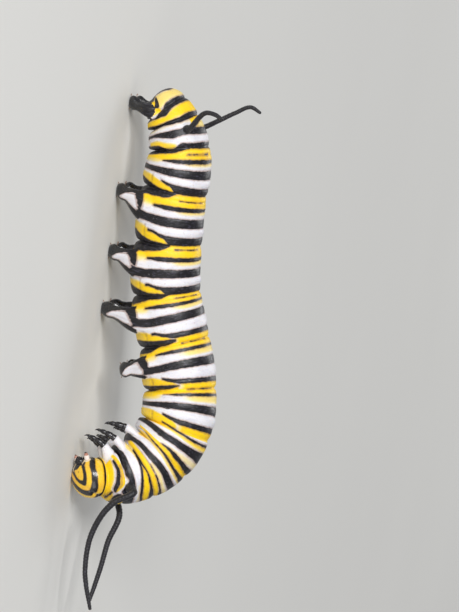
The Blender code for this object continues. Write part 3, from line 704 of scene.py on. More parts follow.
def add_node(tree, kind, inputs=(), output=0, **settings):
    """Adds a node with its settings and inputs, and gives the output that is asked for."""
    node = tree.nodes.new(kind)
    for name, value in settings.items():
        setattr(node, name, value)
    set_inputs(tree, node, inputs)
    return node.outputs[output]


def new_material(name):
    """A new material: its tree, its shader, and where a point of the piece lies, in metres."""
    material = bpy.data.materials.new(name)
    material.use_nodes = True
    tree = material.node_tree
    return material, tree, tree.nodes["Principled BSDF"], add_node(tree, "ShaderNodeTexCoord", output="Object")


def per_mm(size):
    """The scale of a noise whose lumps are about that many mm across."""
    return 1 / (size * MM)


EASED = {"interpolation_type": "SMOOTHSTEP"}


def patches(tree, place, size, low, high, first=0.0, last=1.0, detail=2.0, rough=0.5):
    """Patches about that many mm across: noise brought smoothly from the range low to high to another."""
    lumps = {"Vector": place, "Scale": per_mm(size), "Detail": detail, "Roughness": rough}
    value = add_node(tree, "ShaderNodeTexNoise", lumps)
    return add_node(tree, "ShaderNodeMapRange", (value, low, high, first, last), **EASED)


def unsteady(tree, value, place, size, amount, detail=2.0):
    """A value that strays by up to half that amount either way, in lumps about that many mm across."""
    lumps = add_node(tree, "ShaderNodeTexNoise", {"Vector": place, "Scale": per_mm(size), "Detail": detail})
    level = add_node(tree, "ShaderNodeMath", (lumps, 0.5), operation="SUBTRACT")
    return add_node(tree, "ShaderNodeMath", (level, amount, value), operation="MULTIPLY_ADD")


def laid_over(tree, colour, *layers):
    """A colour with layers over it in turn, each given as how much of it shows, and its colour."""
    for share, over in layers:
        under, over = [hex_colour(c) if isinstance(c, str) else c for c in (colour, over)]
        colour = add_node(tree, "ShaderNodeMix", {0: share, 6: under, 7: over}, 2, data_type="RGBA")
    return colour


# Larval cuticle: a soft, waxy film over pigment, moulted to size. It gives the eye a broad soft gleam, fine
# wrinkles round the body, and black areas that are a little glossier and flecked with blue grey. The wrinkles
# and flecks are finer in life, and are drawn 0.13 to 0.22 mm across so that they show.
EDGE_SOFTNESS, FRINGE_WIDTH = 0.022, 0.16
skin_material, tree, shader, place = new_material("larval_cuticle")
black_at, yellow_at, gloss_at = [
    add_node(tree, "ShaderNodeAttribute", output="Fac", attribute_name=name) for name in ("black", "yellow", "gloss")
]
lie_at = add_node(tree, "ShaderNodeAttribute", output="Vector", attribute_name="lie")


def ragged(tree, value, place):
    """A distance in mm to a colour's edge, made uneven as pigment is."""
    return unsteady(tree, unsteady(tree, value, place, 0.42, 0.12), place, 0.13, 0.06, 1)


edge = ragged(tree, black_at, place)
dark = add_node(tree, "ShaderNodeMapRange", (edge, -EDGE_SOFTNESS, EDGE_SOFTNESS), **EASED)
fringe = add_node(tree, "ShaderNodeMapRange", (edge, -FRINGE_WIDTH, -0.01, 0, 0.62), **EASED)
deep = unsteady(tree, yellow_at, place, 0.5, 0.18)
pale, strong, orange = [
    add_node(tree, "ShaderNodeMapRange", (deep, *ends), **EASED)
    for ends in ((0.05, 0.5), (0.5, 0.95), (0.6, 1, 0, 0.4))
]
orange = add_node(tree, "ShaderNodeMath", (patches(tree, place, 0.9, 0.5, 0.75), orange), operation="MULTIPLY")
wrinkle_place = add_node(tree, "ShaderNodeMapping", {"Vector": lie_at, "Scale": (1, 0.32, 1)})
light_part = laid_over(
    tree, "#E4E2E7",
    (patches(tree, wrinkle_place, 0.4, 0.45, 0.75, 0, 0.45, 3, 0.6), "#BFBAC8"),
    (pale, "#F2DA86"), (strong, "#FCD104"), (orange, "#F3B316"),
    (patches(tree, place, 0.16, 0.60, 0.74, 0, 0.30, 1), "#B9A58F"), (fringe, "#8A5B3C"),
)
blue_fleck = patches(tree, wrinkle_place, 0.13, 0.50, 0.72, 0, 0.7, 2, 0.6)
dark_part = laid_over(tree, "#131116", (blue_fleck, "#4A4756"), (gloss_at, "#0E0D11"))
grain = add_node(tree, "ShaderNodeTexNoise", {"Vector": place, "Scale": per_mm(0.07)})
wrinkle = {"Vector": wrinkle_place, "Scale": per_mm(0.22), "Detail": 3, "Roughness": 0.6}
wrinkle = add_node(tree, "ShaderNodeTexNoise", wrinkle)
height = add_node(tree, "ShaderNodeMath", (grain, 0.25, wrinkle), operation="MULTIPLY_ADD")
rough = patches(tree, place, 0.3, 0.3, 0.7, 0.44, 0.56)
for finer, amount in ((dark, -0.10), (gloss_at, -0.16)):
    rough = add_node(tree, "ShaderNodeMath", (finer, amount, rough), operation="MULTIPLY_ADD")
set_inputs(tree, shader, {
    "Base Color": laid_over(tree, light_part, (dark, dark_part)),
    "Roughness": rough,
    "Normal": add_node(tree, "ShaderNodeBump", {"Strength": 0.6, "Distance": 0.06 * MM, "Height": height}, "Normal"),
    "Coat Weight": gloss_at,
    "Coat Roughness": 0.24,
    "Subsurface Weight": 0.10,
    "Subsurface Radius": (1.0, 0.65, 0.35),
    "Subsurface Scale": 0.0004,
    "Specular IOR Level": 0.45,
})


def put_attribute(obj, name, kind, values):
    """Gives each point of a mesh a value that its material reads."""
    data = obj.data.attributes.new(name, kind, "POINT").data
    data.foreach_set("vector" if kind == "FLOAT_VECTOR" else "value", np.asarray(values, np.float32).reshape(-1))


skin = new_object("skin", skin_points, skin_faces, skin_material)
face_out(skin)
put_attribute(skin, "black", "FLOAT", on_skin(black, collar_black, [ALL_BLACK] * 2))
no_value = [0] * len(COLLAR)
put_attribute(skin, "yellow", "FLOAT", on_skin(yellow, [COLLAR_YELLOW] * len(COLLAR), [0, 0]))
put_attribute(skin, "gloss", "FLOAT", on_skin(gloss, no_value, [0, 0]))
lie = [on_skin(values, no_value, [0, 0]) * MM for values in (s_grid, mm_round, np.zeros(s_grid.shape))]
put_attribute(skin, "lie", "FLOAT_VECTOR", np.stack(lie, -1))
sided = [f"{name}_{side}" for name in PROLEGS for side in ("right", "left")]
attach(skin, "root")
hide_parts(*ring_names, *sided)

# The head capsule: a hard, glossy shell of tanned cuticle, moulded in two round halves that meet in a groove
# over the crown. Yellow and black bands run round the face like nested arches.
HEAD_DEPTH, HEAD_HALF_HEIGHT, HEAD_HALF_WIDTH = 2.30, 1.84, 1.80
HEAD_WIDEST, HEAD_BLUNTNESS, HEAD_TURN_SHARE = 0.36, 2.5, 0.60
FACE_PITCH, FACE_YAW = -64.0, 58.0
HEAD_ROWS, HEAD_SIDES = 96, 144
# The way the face looks, and the way to the animal's right across it, as parts ahead, to the back and right.
FACE_LOOK, FACE_RIGHT = (0.826, -0.562, 0.050), (-0.248, -0.283, 0.9266)


def head_way(share):
    """The head's slope and turn, which swing from the neck's to the face's."""
    turned = np.minimum(1.0, share / HEAD_TURN_SHARE)
    turned = turned * turned * (3 - 2 * turned)
    return NECK_PITCH + (FACE_PITCH - NECK_PITCH) * turned, NECK_YAW + (FACE_YAW - NECK_YAW) * turned


head_shares = np.linspace(0, 1, 51)
head_steps = direction(*head_way((head_shares[:-1] + head_shares[1:]) / 2)) * HEAD_DEPTH / 50
neck_centre, neck_ahead = body_frame(body_length)[:2]
head_line = neck_centre + np.cumsum(np.vstack([neck_ahead * CAD_GAP / 2, head_steps]), 0)


def head_frame(share):
    """The centre in mm, and the three axes, at any shares of the head's depth."""
    centre = np.stack([np.interp(share, head_shares, head_line[:, axis]) for axis in range(3)], -1)
    return centre, *axes(*head_way(share))


def head_at(share, angle, clear=0.0):
    """Points on the plain capsule, or that far off it, by share of its depth and angle from the crown."""
    share, angle = np.broadcast_arrays(np.asarray(share, float), np.asarray(angle, float))
    a = np.radians(angle)
    neck_share = NECK_RADIUS / HEAD_HALF_HEIGHT * 0.93
    swell = neck_share + (1 - neck_share) * np.sin(np.minimum(1, share / HEAD_WIDEST) * np.pi / 2)
    beyond = np.clip((share - HEAD_WIDEST) / (1 - HEAD_WIDEST), 0, 1)
    swell = np.where(share < HEAD_WIDEST, swell, (1 - beyond**HEAD_BLUNTNESS) ** (1 / HEAD_BLUNTNESS))
    centre, _, back, right = head_frame(share)
    radial = (np.cos(a) * HEAD_HALF_HEIGHT * swell)[..., None] * back
    radial = radial + (np.sin(a) * HEAD_HALF_WIDTH * swell)[..., None] * right
    length = np.maximum(np.linalg.norm(radial, axis=-1), 1e-9)
    return centre + radial * (1 + clear / length)[..., None]


rows_share = 1 - (1 - np.linspace(0.0, 0.9995, HEAD_ROWS)) ** 1.15
head_around = np.arange(HEAD_SIDES) * 360 / HEAD_SIDES
head_rows = head_at(rows_share[:, None], head_around[None])
face_axes = np.array(head_frame(1.0)[1:])
face_look, face_right = np.array(FACE_LOOK) @ face_axes, np.array(FACE_RIGHT) @ face_axes
face_up = np.cross(face_right, face_look)
head_centre = head_frame(0.40)[0]


def face_polar(points):
    """Where points lie on the face: degrees round it from the crown, and degrees away from its middle."""
    way = points - head_centre
    way = way / np.linalg.norm(way, axis=-1, keepdims=True)
    round_face = np.degrees(np.arctan2(way @ face_right, way @ face_up))
    return round_face, np.degrees(np.arccos(np.clip(way @ face_look, -1, 1)))


# Bands on the head: knots of degrees round the face from the crown, then the inner and outer edge as degrees
# away from the middle of the face.
HEAD_BLACK = {
    "chevron": ((0, 46, 57), (40, 29, 36), (90, 19, 26), (112, 19, 26), (140, 30, 37), (158, 42, 50), (180, 44, 60)),
    "arch": (
        (0, 80, 95), (14, 75, 93), (30, 64, 84), (45, 56, 74), (60, 49, 67), (82, 44, 59), (100, 47, 60),
        (125, 54, 68), (150, 62, 76), (180, 66, 80),
    ),
    "neck": (
        (0, 109, 180), (12, 110, 180), (22, 117, 180), (45, 106, 180), (68, 92, 180), (90, 88, 180), (120, 90, 180),
        (150, 96, 180), (180, 99, 180),
    ),
}
HEAD_YELLOW = {
    "frons": ((0, 0, 36), (60, 0, 20), (90, 0, 18), (120, 0, 22), (136, 0, 22), (150, 0, 14), (180, 0, 11)),
    "inner_arch": (
        (0, 60, 79), (14, 49, 70), (30, 40, 62), (45, 35, 54), (60, 31, 49), (92, 27, 43), (110, 30, 46),
        (130, 40, 56), (152, 52, 64), (166, 56, 66), (180, 58, 66),
    ),
    "outer_arch": (
        (0, 92, 112), (22, 84, 120), (45, 72, 108), (68, 62, 93), (90, 58, 89), (120, 64, 91), (150, 74, 97),
        (180, 78, 100),
    ),
}
HEAD_MM_PER_DEGREE = 0.0315

round_face, from_face = face_polar(head_rows)
round_face = np.abs(round_face)


def head_band(knots):
    """How far inside a band of the head each place lies, in mm, and less than nothing outside it."""
    knots = np.array(knots, float)
    inner, outer = smooth(knots[:, 0], knots[:, 1], round_face), smooth(knots[:, 0], knots[:, 2], round_face)
    return np.minimum(from_face - inner, outer - from_face) * HEAD_MM_PER_DEGREE


head_yellow = np.max([head_band(knots) for knots in HEAD_YELLOW.values()], 0)
head_black = np.maximum(np.max([head_band(knots) for knots in HEAD_BLACK.values()], 0), -head_yellow)
lip = head_band(((0, 0, 1), (100, 0, 1), (130, 27, 33), (150, 30, 36), (180, 33, 39)))
cream = np.exp(-((lip - 0.08) / 0.12) ** 2)
cream *= ramp(round_face, 118, 134)
head_black = np.where(cream > 0.35, np.minimum(head_black, -0.08), head_black)
# The pale sockets of the feelers.
ANTENNA_SHARE, ANTENNA_ANGLE, SOCKET_RADIUS = 0.54, 161.0, 0.42
for side in (1, -1):
    away = np.linalg.norm(head_rows - head_at(ANTENNA_SHARE, side * ANTENNA_ANGLE), axis=-1)
    cream = np.maximum(cream, 1 - ramp(away, 0.34, 0.46))
    head_black = np.where(away < SOCKET_RADIUS, np.minimum(head_black, away - SOCKET_RADIUS), head_black)

# The capsule's grooves: the seam over the crown, the two seams beside the frons, and a fine pitting.
sideways = (head_rows - head_centre) @ face_right
upwards = (head_rows - head_centre) @ face_up
seam = 0.13 * np.exp(-((sideways / 0.20) ** 2)) * ramp(upwards, 0.75, 1.3) * ramp(from_face, 30, 60)
beside_frons = head_band(((0, 36, 37), (60, 20, 21), (90, 18, 19), (136, 22, 23), (180, 11, 12)))
seam += 0.03 * np.exp(-((beside_frons / 0.06) ** 2))
seam += 0.02 * np.exp(-(((from_face - 31) / 3.5) ** 2)) * ramp(round_face, 130, 145)
lumps = 0.012 * wander(head_rows, 0.9, 21) + 0.004 * wander(head_rows, 0.22, 22, 14)
inwards = head_rows - head_frame(rows_share)[0][:, None]
inwards /= np.maximum(np.linalg.norm(inwards, axis=-1, keepdims=True), 1e-6)
head_rows = head_rows + inwards * ((lumps - seam) * np.clip((1 - rows_share) / 0.03, 0, 1)[:, None])[..., None]
head_rows[..., 2] = np.maximum(head_rows[..., 2], 0.0)


def uneven_surface(tree, place, size, strength, height, detail=2.0, rough=0.5):
    """The normal of a surface with lumps of that size and height, both in mm."""
    lumps = {"Vector": place, "Scale": per_mm(size), "Detail": detail, "Roughness": rough}
    level = add_node(tree, "ShaderNodeTexNoise", lumps)
    return add_node(tree, "ShaderNodeBump", {"Strength": strength, "Distance": height * MM, "Height": level}, "Normal")


# Head capsule cuticle: hard and tanned, moulted to size, with a clear layer of wax. It gives the eye small sharp
# highlights over mottled yellow and brown-edged black. Its pits are finer in life, and are drawn 0.09 mm across so
# that they show.
head_material, tree, shader, place = new_material("tanned_cuticle_banded")
black_at, cream_at = [
    add_node(tree, "ShaderNodeAttribute", output="Fac", attribute_name=name) for name in ("black", "cream")
]
edge = ragged(tree, black_at, place)
tint = laid_over(
    tree, "#F9CB24",
    (patches(tree, place, 0.7, 0.35, 0.7, 0, 0.55), "#EFAF38"),
    (patches(tree, place, 0.10, 0.55, 0.75, 0, 0.35, 1), "#F7DD7C"), (cream_at, "#F0E3C4"),
    (add_node(tree, "ShaderNodeMapRange", (edge, -0.14, -0.01, 0, 0.6), **EASED), "#7A4A22"),
)
shell = laid_over(tree, "#121014", (patches(tree, place, 0.16, 0.58, 0.75, 0, 0.5, 1), "#33303A"))
set_inputs(tree, shader, {
    "Base Color": laid_over(tree, tint, (add_node(tree, "ShaderNodeMapRange", (edge, -0.02, 0.02), **EASED), shell)),
    "Roughness": patches(tree, place, 0.25, 0.3, 0.7, 0.26, 0.36),
    "Normal": uneven_surface(tree, place, 0.09, 0.35, 0.03, 2, 0.55),
    "IOR": 1.55,
    "Coat Weight": 0.5,
    "Coat Roughness": 0.08,
})

head_points, head_faces = closed_tube(head_rows, head_frame(0.0)[0], head_frame(1.0)[0])
head = new_object("head_capsule", head_points, head_faces, head_material)
face_out(head)
put_attribute(head, "black", "FLOAT", np.concatenate([head_black.reshape(-1), [ALL_BLACK, head_black[-1].mean()]]))
put_attribute(head, "cream", "FLOAT", np.concatenate([np.clip(cream, 0, 1).reshape(-1), [0, 0]]))
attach(head, "root")
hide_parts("head")

# Jaws, lips and palps: small pieces under the face, of the head's hard tanned cuticle, hinged to the capsule by
# soft skin. The upper lip is notched, and the two jaws meet below it, with a palp at each side and the silk
# spinneret behind.

# Black tanned cuticle: hard, smooth and waxed. It gives the eye a deep, wet-looking gloss with faint grey mottling.
# Its ripples are finer in life, and are drawn 0.07 mm across so that they show.
dark_material, tree, shader, place = new_material("tanned_cuticle_black")
set_inputs(tree, shader, {
    "Base Color": laid_over(tree, "#0E0C10", (patches(tree, place, 0.14, 0.45, 0.75, 0, 0.8), "#2B2932")),
    "Roughness": patches(tree, place, 0.2, 0.3, 0.7, 0.20, 0.34),
    "Normal": uneven_surface(tree, place, 0.07, 0.4, 0.03, 2, 0.6),
    "IOR": 1.55,
    "Coat Weight": 0.3,
    "Coat Roughness": 0.12,
})


def swept(path, radii, sides, across, squash=1.0):
    """Rings of points round a path, square to it, with the first point towards the given way."""
    path = np.asarray(path, float)
    ways = np.gradient(path, axis=0)
    ways /= np.linalg.norm(ways, axis=1, keepdims=True)
    first = across - ways * (ways @ across)[:, None]
    first /= np.linalg.norm(first, axis=1, keepdims=True)
    other = np.cross(ways, first)
    turn = np.arange(sides) * 2 * np.pi / sides
    ring = np.cos(turn)[None, :, None] * first[:, None] * squash + np.sin(turn)[None, :, None] * other[:, None]
    return path[:, None] + ring * np.asarray(radii, float)[:, None, None]


def joined(name, parts, material):
    """One object from several closed meshes, each given as points and faces."""
    points, faces, count = [], [], 0
    for some_points, some_faces in parts:
        points.append(some_points)
        faces += [tuple(k + count for k in face) for face in some_faces]
        count += len(some_points)
    obj = new_object(name, np.vstack(points), faces, material)
    bm = bmesh.new()
    bm.from_mesh(obj.data)
    bmesh.ops.recalc_face_normals(bm, faces=bm.faces)
    bm.to_mesh(obj.data)
    bm.free()
    return obj


def bulb(start, end, radii, across, squash=1.0, sides=16):
    """A rounded, tapering piece from start to end, with radii at even steps."""
    at = np.linspace(0, 1, 4 * len(radii) - 3)
    path = start + (end - start) * at[:, None]
    size = smooth(np.linspace(0, 1, len(radii)), radii, at)
    rows = swept(path, np.maximum(size, 0.004), sides, across, squash)
    return closed_tube(rows, path[0], path[-1])


MOUTH_PLACE = 0.70
mouth_centre, mouth_ahead, _, mouth_right = head_frame(MOUTH_PLACE)
mouth_root = head_at(MOUTH_PLACE, 180.0)
mouth_down = (mouth_root - mouth_centre) / np.linalg.norm(mouth_root - mouth_centre)


def by_mouth(ahead, down, right):
    """A point that far from the mouth's middle."""
    return mouth_root + mouth_ahead * ahead + mouth_down * down + mouth_right * right


# For each piece: where it starts and ends, ahead and down from the mouth's middle and to the side, then its radii.
MOUTH_PIECES = (
    ((0.16, -0.2, 0.16), (0.12, 0.34, 0.12), (0.10, 0.22, 0.25, 0.22, 0.04), mouth_ahead, 0.62),
    ((-0.02, -0.2, 0.34), (0.0, 0.52, 0.07), (0.12, 0.24, 0.24, 0.17, 0.02), mouth_right, 0.8),
    ((-0.34, -0.15, 0.26), (-0.40, 0.34, 0.24), (0.10, 0.16, 0.15, 0.10, 0.09, 0.05, 0.01), mouth_ahead, 1.0),
)
SPINNERET = (-0.36, -0.2, 0), (-0.44, 0.42, 0), (0.14, 0.20, 0.15, 0.07, 0.05, 0.01)
mouth_parts = [
    bulb(by_mouth(*start[:2], side * start[2]), by_mouth(*end[:2], side * end[2]), radii, across, squash)
    for side in (1, -1)
    for start, end, radii, across, squash in MOUTH_PIECES
]
mouth_parts.append(bulb(by_mouth(*SPINNERET[0]), by_mouth(*SPINNERET[1]), SPINNERET[2], mouth_ahead))
mouth = joined("jaws_and_palps", mouth_parts, dark_material)
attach(mouth, "root")
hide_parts("mouthparts")

# Antennae: two very short three-jointed feelers beside the jaws, pale and soft at the base and dark and hard at
# the tip, with one long bristle each. They plug into soft sockets in the capsule.

# Feeler cuticle: soft and pale where it stretches, hard and dark at the tip. It gives the eye a moist, pinkish white
# that darkens in steps. Its grain is finer in life, and is drawn 0.06 mm across so that it shows.
feeler_material, tree, shader, place = new_material("feeler_cuticle")
tip_at = add_node(tree, "ShaderNodeAttribute", output="Fac", attribute_name="tip")
tone = unsteady(tree, tip_at, place, 0.12, 0.25)
tanned, black_tip = [
    add_node(tree, "ShaderNodeMapRange", (tone, *ends), **EASED) for ends in ((0.48, 0.62), (0.80, 0.90))
]
set_inputs(tree, shader, {
    "Base Color": laid_over(tree, "#EADDD4", (tanned, "#B07B69"), (black_tip, "#241A1B")),
    "Normal": uneven_surface(tree, place, 0.06, 0.3, 0.02),
    "Roughness": 0.34,
})
ANTENNA_LENGTH, ANTENNA_STOOP, ANTENNA_SINK, ANTENNA_SIDES, ANTENNA_LIFT = 0.40, 3.0, 0.35, 20, 0.02
# Share of the feeler's length, from inside the capsule, and its radius there in mm.
ANTENNA_PROFILE = (
    (0, 0.20), (0.10, 0.24), (0.50, 0.24), (0.56, 0.22), (0.60, 0.175), (0.78, 0.175), (0.82, 0.15), (0.86, 0.105),
    (0.95, 0.10), (0.985, 0.07), (1.0, 0.02),
)
for side, word in ((1, "right"), (-1, "left")):
    start = head_at(ANTENNA_SHARE, side * ANTENNA_ANGLE, CAD_GAP)
    way = start - head_at(ANTENNA_SHARE, side * ANTENNA_ANGLE, -1.0) - ANTENNA_STOOP * head_frame(ANTENNA_SHARE)[2]
    way /= np.linalg.norm(way)
    at = np.linspace(0, 1, 41)
    reach = ANTENNA_LENGTH + ANTENNA_SINK
    path = start - way * ANTENNA_SINK + way * reach * at[:, None]
    path[:, 2] = np.maximum(path[:, 2], ANTENNA_LIFT)
    rows = swept(path, np.interp(at, *np.array(ANTENNA_PROFILE).T), ANTENNA_SIDES, head_frame(ANTENNA_SHARE)[1])
    rows[..., 2] = np.maximum(rows[..., 2], 0.0)
    antenna = new_object(f"feeler_{word}", *closed_tube(rows, path[0], path[-1]), feeler_material)
    face_out(antenna)
    put_attribute(antenna, "tip", "FLOAT", np.concatenate([np.repeat(at, ANTENNA_SIDES), [0, 1]]))
    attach(antenna, "root")
    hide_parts(f"antenna_{word}")

# Simple eyes: six tiny clear domes on each cheek, set in an arc in the black by the feelers. Each is a lens of
# clear cuticle, grown as one with the capsule round it.

# Lens cuticle: clear and smooth over a dark brown cup. It gives the eye a pinpoint highlight on nearly black.
eye_material, tree, shader, place = new_material("lens_cuticle")
cup = add_node(tree, "ShaderNodeTexNoise", {"Vector": place, "Scale": per_mm(0.1)})
set_inputs(tree, shader, {
    "Base Color": laid_over(tree, "#0A0809", (cup, "#2A1A12")),
    "Roughness": 0.06,
    "IOR": 1.5,
})
# Degrees round the face from the crown, and away from its middle.
EYE_PLACES = ((148, 73), (140, 71), (131, 69), (124, 64), (132, 60), (142, 63))
EYE_RADII, EYE_SINK, EYE_RISE = (0.055, 0.075, 0.07, 0.045, 0.004), 0.06, 0.045
seats = head_rows.reshape(-1, 3)
seat_ways = (seats - head_centre) / np.linalg.norm(seats - head_centre, axis=1, keepdims=True)
eye_parts = []
for side in (1, -1):
    for degrees, away in EYE_PLACES:
        degrees, away = math.radians(degrees) * side, math.radians(away)
        outwards = math.cos(degrees) * face_up + math.sin(degrees) * face_right
        way = math.cos(away) * face_look + math.sin(away) * outwards
        seat = seats[(seat_ways @ way).argmax()]
        # An eye that the cheek would press to the floor is left out.
        if seat[2] > EYE_SINK:
            eye_parts.append(bulb(seat - way * EYE_SINK, seat + way * EYE_RISE, EYE_RADII, face_up, sides=12))
eyes = joined("simple_eyes", eye_parts, eye_material)
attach(eyes, "root")

# Thoracic legs: three pairs of short jointed legs of hard, glossy black cuticle, each of three segments with a
# curved claw. Each is hinged in the soft white hip that the skin forms round its root.
LEG_SIDES = 20
# Share of the leg's length, and its radius there in mm. Each segment swells and is nipped in at its joints.
LEG_PROFILE = (
    (0.13, 0.18), (0.17, 0.27), (0.22, 0.31), (0.28, 0.30), (0.31, 0.25), (0.335, 0.28), (0.42, 0.295), (0.52, 0.25),
    (0.565, 0.19), (0.58, 0.185), (0.60, 0.21), (0.66, 0.215), (0.73, 0.175), (0.78, 0.13), (0.795, 0.125),
    (0.81, 0.145), (0.85, 0.135), (0.89, 0.10), (0.91, 0.08), (0.94, 0.062), (0.97, 0.04), (1.0, 0.008),
)
CLAW_CURL = 0.14
for name, row in LEGS.items():
    for side, word in ((1, "right"), (-1, "left")):
        path = leg_path(row, side)
        stations = np.linspace(LEG_PROFILE[0][0], 1.0, 76)
        radii = np.interp(stations, *np.array(LEG_PROFILE).T)
        radii = np.convolve(np.pad(radii, 1, mode="edge"), (0.25, 0.5, 0.25), "valid")
        line = on_path(path, stations)
        inwards = line[0] - path[2] + on_path(path, 1.0) - path[2]
        inwards /= np.linalg.norm(inwards)
        line = line + inwards * (CLAW_CURL * np.clip((stations - 0.88) / 0.12, 0, 1)[:, None] ** 2)
        rows = swept(line, radii, LEG_SIDES, path[4])
        rows += 0.010 * wander(rows, 0.3, 31)[..., None] * (rows - line[:, None]) / radii[:, None, None]
        rows[..., 2] = np.maximum(rows[..., 2], 0.0)
        leg = new_object(name + "_shell_" + word, *closed_tube(rows, line[0], line[-1]), dark_material)
        face_out(leg)
        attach(leg, "root")
        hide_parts(f"{name}_{word}")

# Filaments: two long pairs of soft, hollow, movable black feelers, one pair behind the head and one near the tail.
# They grow from the skin and are of the same cuticle, velvety, finely wrinkled across and blunt at the end.
# Ring, place, angle, root radius and end radius in mm, then the path from the root: ahead, right and up.
FILAMENTS = {
    "filament_front_right": (
        "thorax_2", 0.84, 62, 0.31, 0.20, ((1.3, 0.9, -1.3), (4.3, 0.7, -2.9), (7.7, 0.6, -3.1), (11.4, 0.2, -2.2)),
    ),
    "filament_front_left": (
        "thorax_2", 0.84, -62, 0.31, 0.20, ((2.0, 0.4, 0.8), (4.6, 0.8, 0.2), (7.2, 1.2, -0.1), (10.4, 1.8, -0.6)),
    ),
    "filament_rear_right": (
        "abdomen_08", 0.42, 56, 0.25, 0.17, ((-1.0, 1.0, 0.9), (-1.7, 2.2, 1.8), (-1.7, 3.2, 2.8), (-1.4, 4.1, 3.7)),
    ),
    "filament_rear_left": (
        "abdomen_08", 0.42, -56, 0.25, 0.17,
        ((-1.0, -0.3, 1.7), (-1.9, -0.3, 3.1), (-2.6, -0.1, 4.4), (-2.2, 0.3, 5.5)),
    ),
}
FILAMENT_RISE, FILAMENT_ROWS, FILAMENT_SIDES = 0.45, 300, 24
FILAMENT_TIP_SHARE, FILAMENT_TIP_SCALE = 0.14, 0.78
FILAMENT_ROUNDING, FILAMENT_FLARE, FLARE_LENGTH = 0.16, 0.35, 0.22
WRINKLE_SIZE, WRINKLE_DEPTH = 0.16, 0.014

# Velvet cuticle: soft black skin with a nap of minute points. It gives the eye a dull black with a grey bloom at its
# edges. The nap is finer in life, and is drawn 0.05 mm across so that it shows.
velvet_material, tree, shader, place = new_material("velvet_cuticle")
set_inputs(tree, shader, {
    "Base Color": laid_over(tree, "#131116", (patches(tree, place, 0.12, 0.5, 0.75, 0, 0.7), "#3C3A45")),
    "Normal": uneven_surface(tree, place, 0.05, 0.5, 0.03, 2, 0.6),
    "Roughness": 0.5,
    "Sheen Weight": 0.2,
    "Sheen Roughness": 0.4,
})

for name, (ring, place_share, angle, root_radius, end_radius, way_points) in FILAMENTS.items():
    s = along_ring(ring, place_share)
    centre, ahead, _, _ = body_frame(s)
    start = skin_at(s, angle, CAD_GAP)
    outwards = (start - centre) / np.linalg.norm(start - centre)
    way_points = [start + np.array([x, -y, z]) for x, y, z in way_points]
    knots = np.array([start, start + outwards * FILAMENT_RISE, *way_points])
    along = np.concatenate([[0], np.cumsum(np.linalg.norm(np.diff(knots, axis=0), axis=1))])
    shares = np.linspace(0, 1, FILAMENT_ROWS)
    path = np.stack([smooth(along, knots[:, axis], shares * along[-1]) for axis in range(3)], -1)
    radii = root_radius + (end_radius - root_radius) * shares
    radii *= 1 - (1 - FILAMENT_TIP_SCALE) * np.clip(1 - (1 - shares) / FILAMENT_TIP_SHARE, 0, 1)
    to_tip = (1 - shares) * along[-1]
    radii *= np.sqrt(np.clip(1 - (1 - np.clip(to_tip / FILAMENT_ROUNDING, 0, 1)) ** 2, 0.002, 1))
    radii *= 1 + FILAMENT_FLARE * np.exp(-shares * along[-1] / FLARE_LENGTH)
    # Two more rings carry the filament through the skin.
    path = np.vstack([start - outwards * (CAD_GAP + 0.25), start - outwards * (CAD_GAP + 0.06), path])
    radii = np.concatenate([[radii[0] * 1.1, radii[0] * 1.2], radii])
    rows = swept(path, radii, FILAMENT_SIDES, ahead)
    bumps = np.sin(np.arange(len(path)) * 0.95 + 1.8 * wander(rows, 0.5, 41).T).T
    bumps = WRINKLE_DEPTH * bumps + 0.012 * wander(rows, WRINKLE_SIZE, 42, 14)
    rows += bumps[..., None] * (rows - path[:, None]) / radii[:, None, None]
    filament = new_object("soft_" + name, *closed_tube(rows, path[0], path[-1]), velvet_material)
    face_out(filament)
    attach(filament, "root")
    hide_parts(name)

# Spiracles: the oval breathing holes low on each flank, one pair on the first thoracic ring and on each of the
# first eight abdominal rings. Each is a raised black horny rim round a sunken dark slit.
SPIRACLES = {
    "thorax_1": (0.47, 98), "abdomen_01": (0.45, 100), "abdomen_02": (0.476, 97), "abdomen_03": (0.487, 98),
    "abdomen_04": (0.51, 103), "abdomen_05": (0.567, 103), "abdomen_06": (0.51, 104), "abdomen_07": (0.547, 103),
    "abdomen_08": (0.48, 92),
}
SPIRACLE_LONG, SPIRACLE_WIDE, SPIRACLE_SIDES = 0.21, 0.13, 24
# Share of the spiracle's size, and height over the skin in mm, from the rim to the bottom of the slit.
SPIRACLE_PROFILE = (
    (1.18, -0.06), (1.10, 0.018), (0.98, 0.045), (0.84, 0.045), (0.70, 0.012), (0.52, -0.03), (0.2, -0.05),
)
spiracle_parts = []
for ring, (place_share, angle) in SPIRACLES.items():
    s = along_ring(ring, place_share)
    size = 0.8 if ring == "thorax_1" else 1.0
    for side in (1, -1):
        middle = skin_at(s, side * angle)
        centre, ahead, _, _ = body_frame(s)
        out = (middle - centre) / np.linalg.norm(middle - centre)
        down = np.cross(ahead, out)
        turn = np.arange(SPIRACLE_SIDES) * 2 * np.pi / SPIRACLE_SIDES
        oval = np.cos(turn)[:, None] * down * SPIRACLE_LONG + np.sin(turn)[:, None] * ahead * SPIRACLE_WIDE
        rows = [middle + out * height + oval * scale * size for scale, height in SPIRACLE_PROFILE]
        spiracle_parts.append(closed_tube(rows, middle - out * 0.08, middle - out * 0.055))
spiracles = joined("spiracles", spiracle_parts, dark_material)
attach(spiracles, "root")

# Crochets: the ring of tiny amber hooks on the sole of each proleg, grown from the hard edge of the foot, with
# which the larva grips. They stand in an arc on the inner side, points out and down.

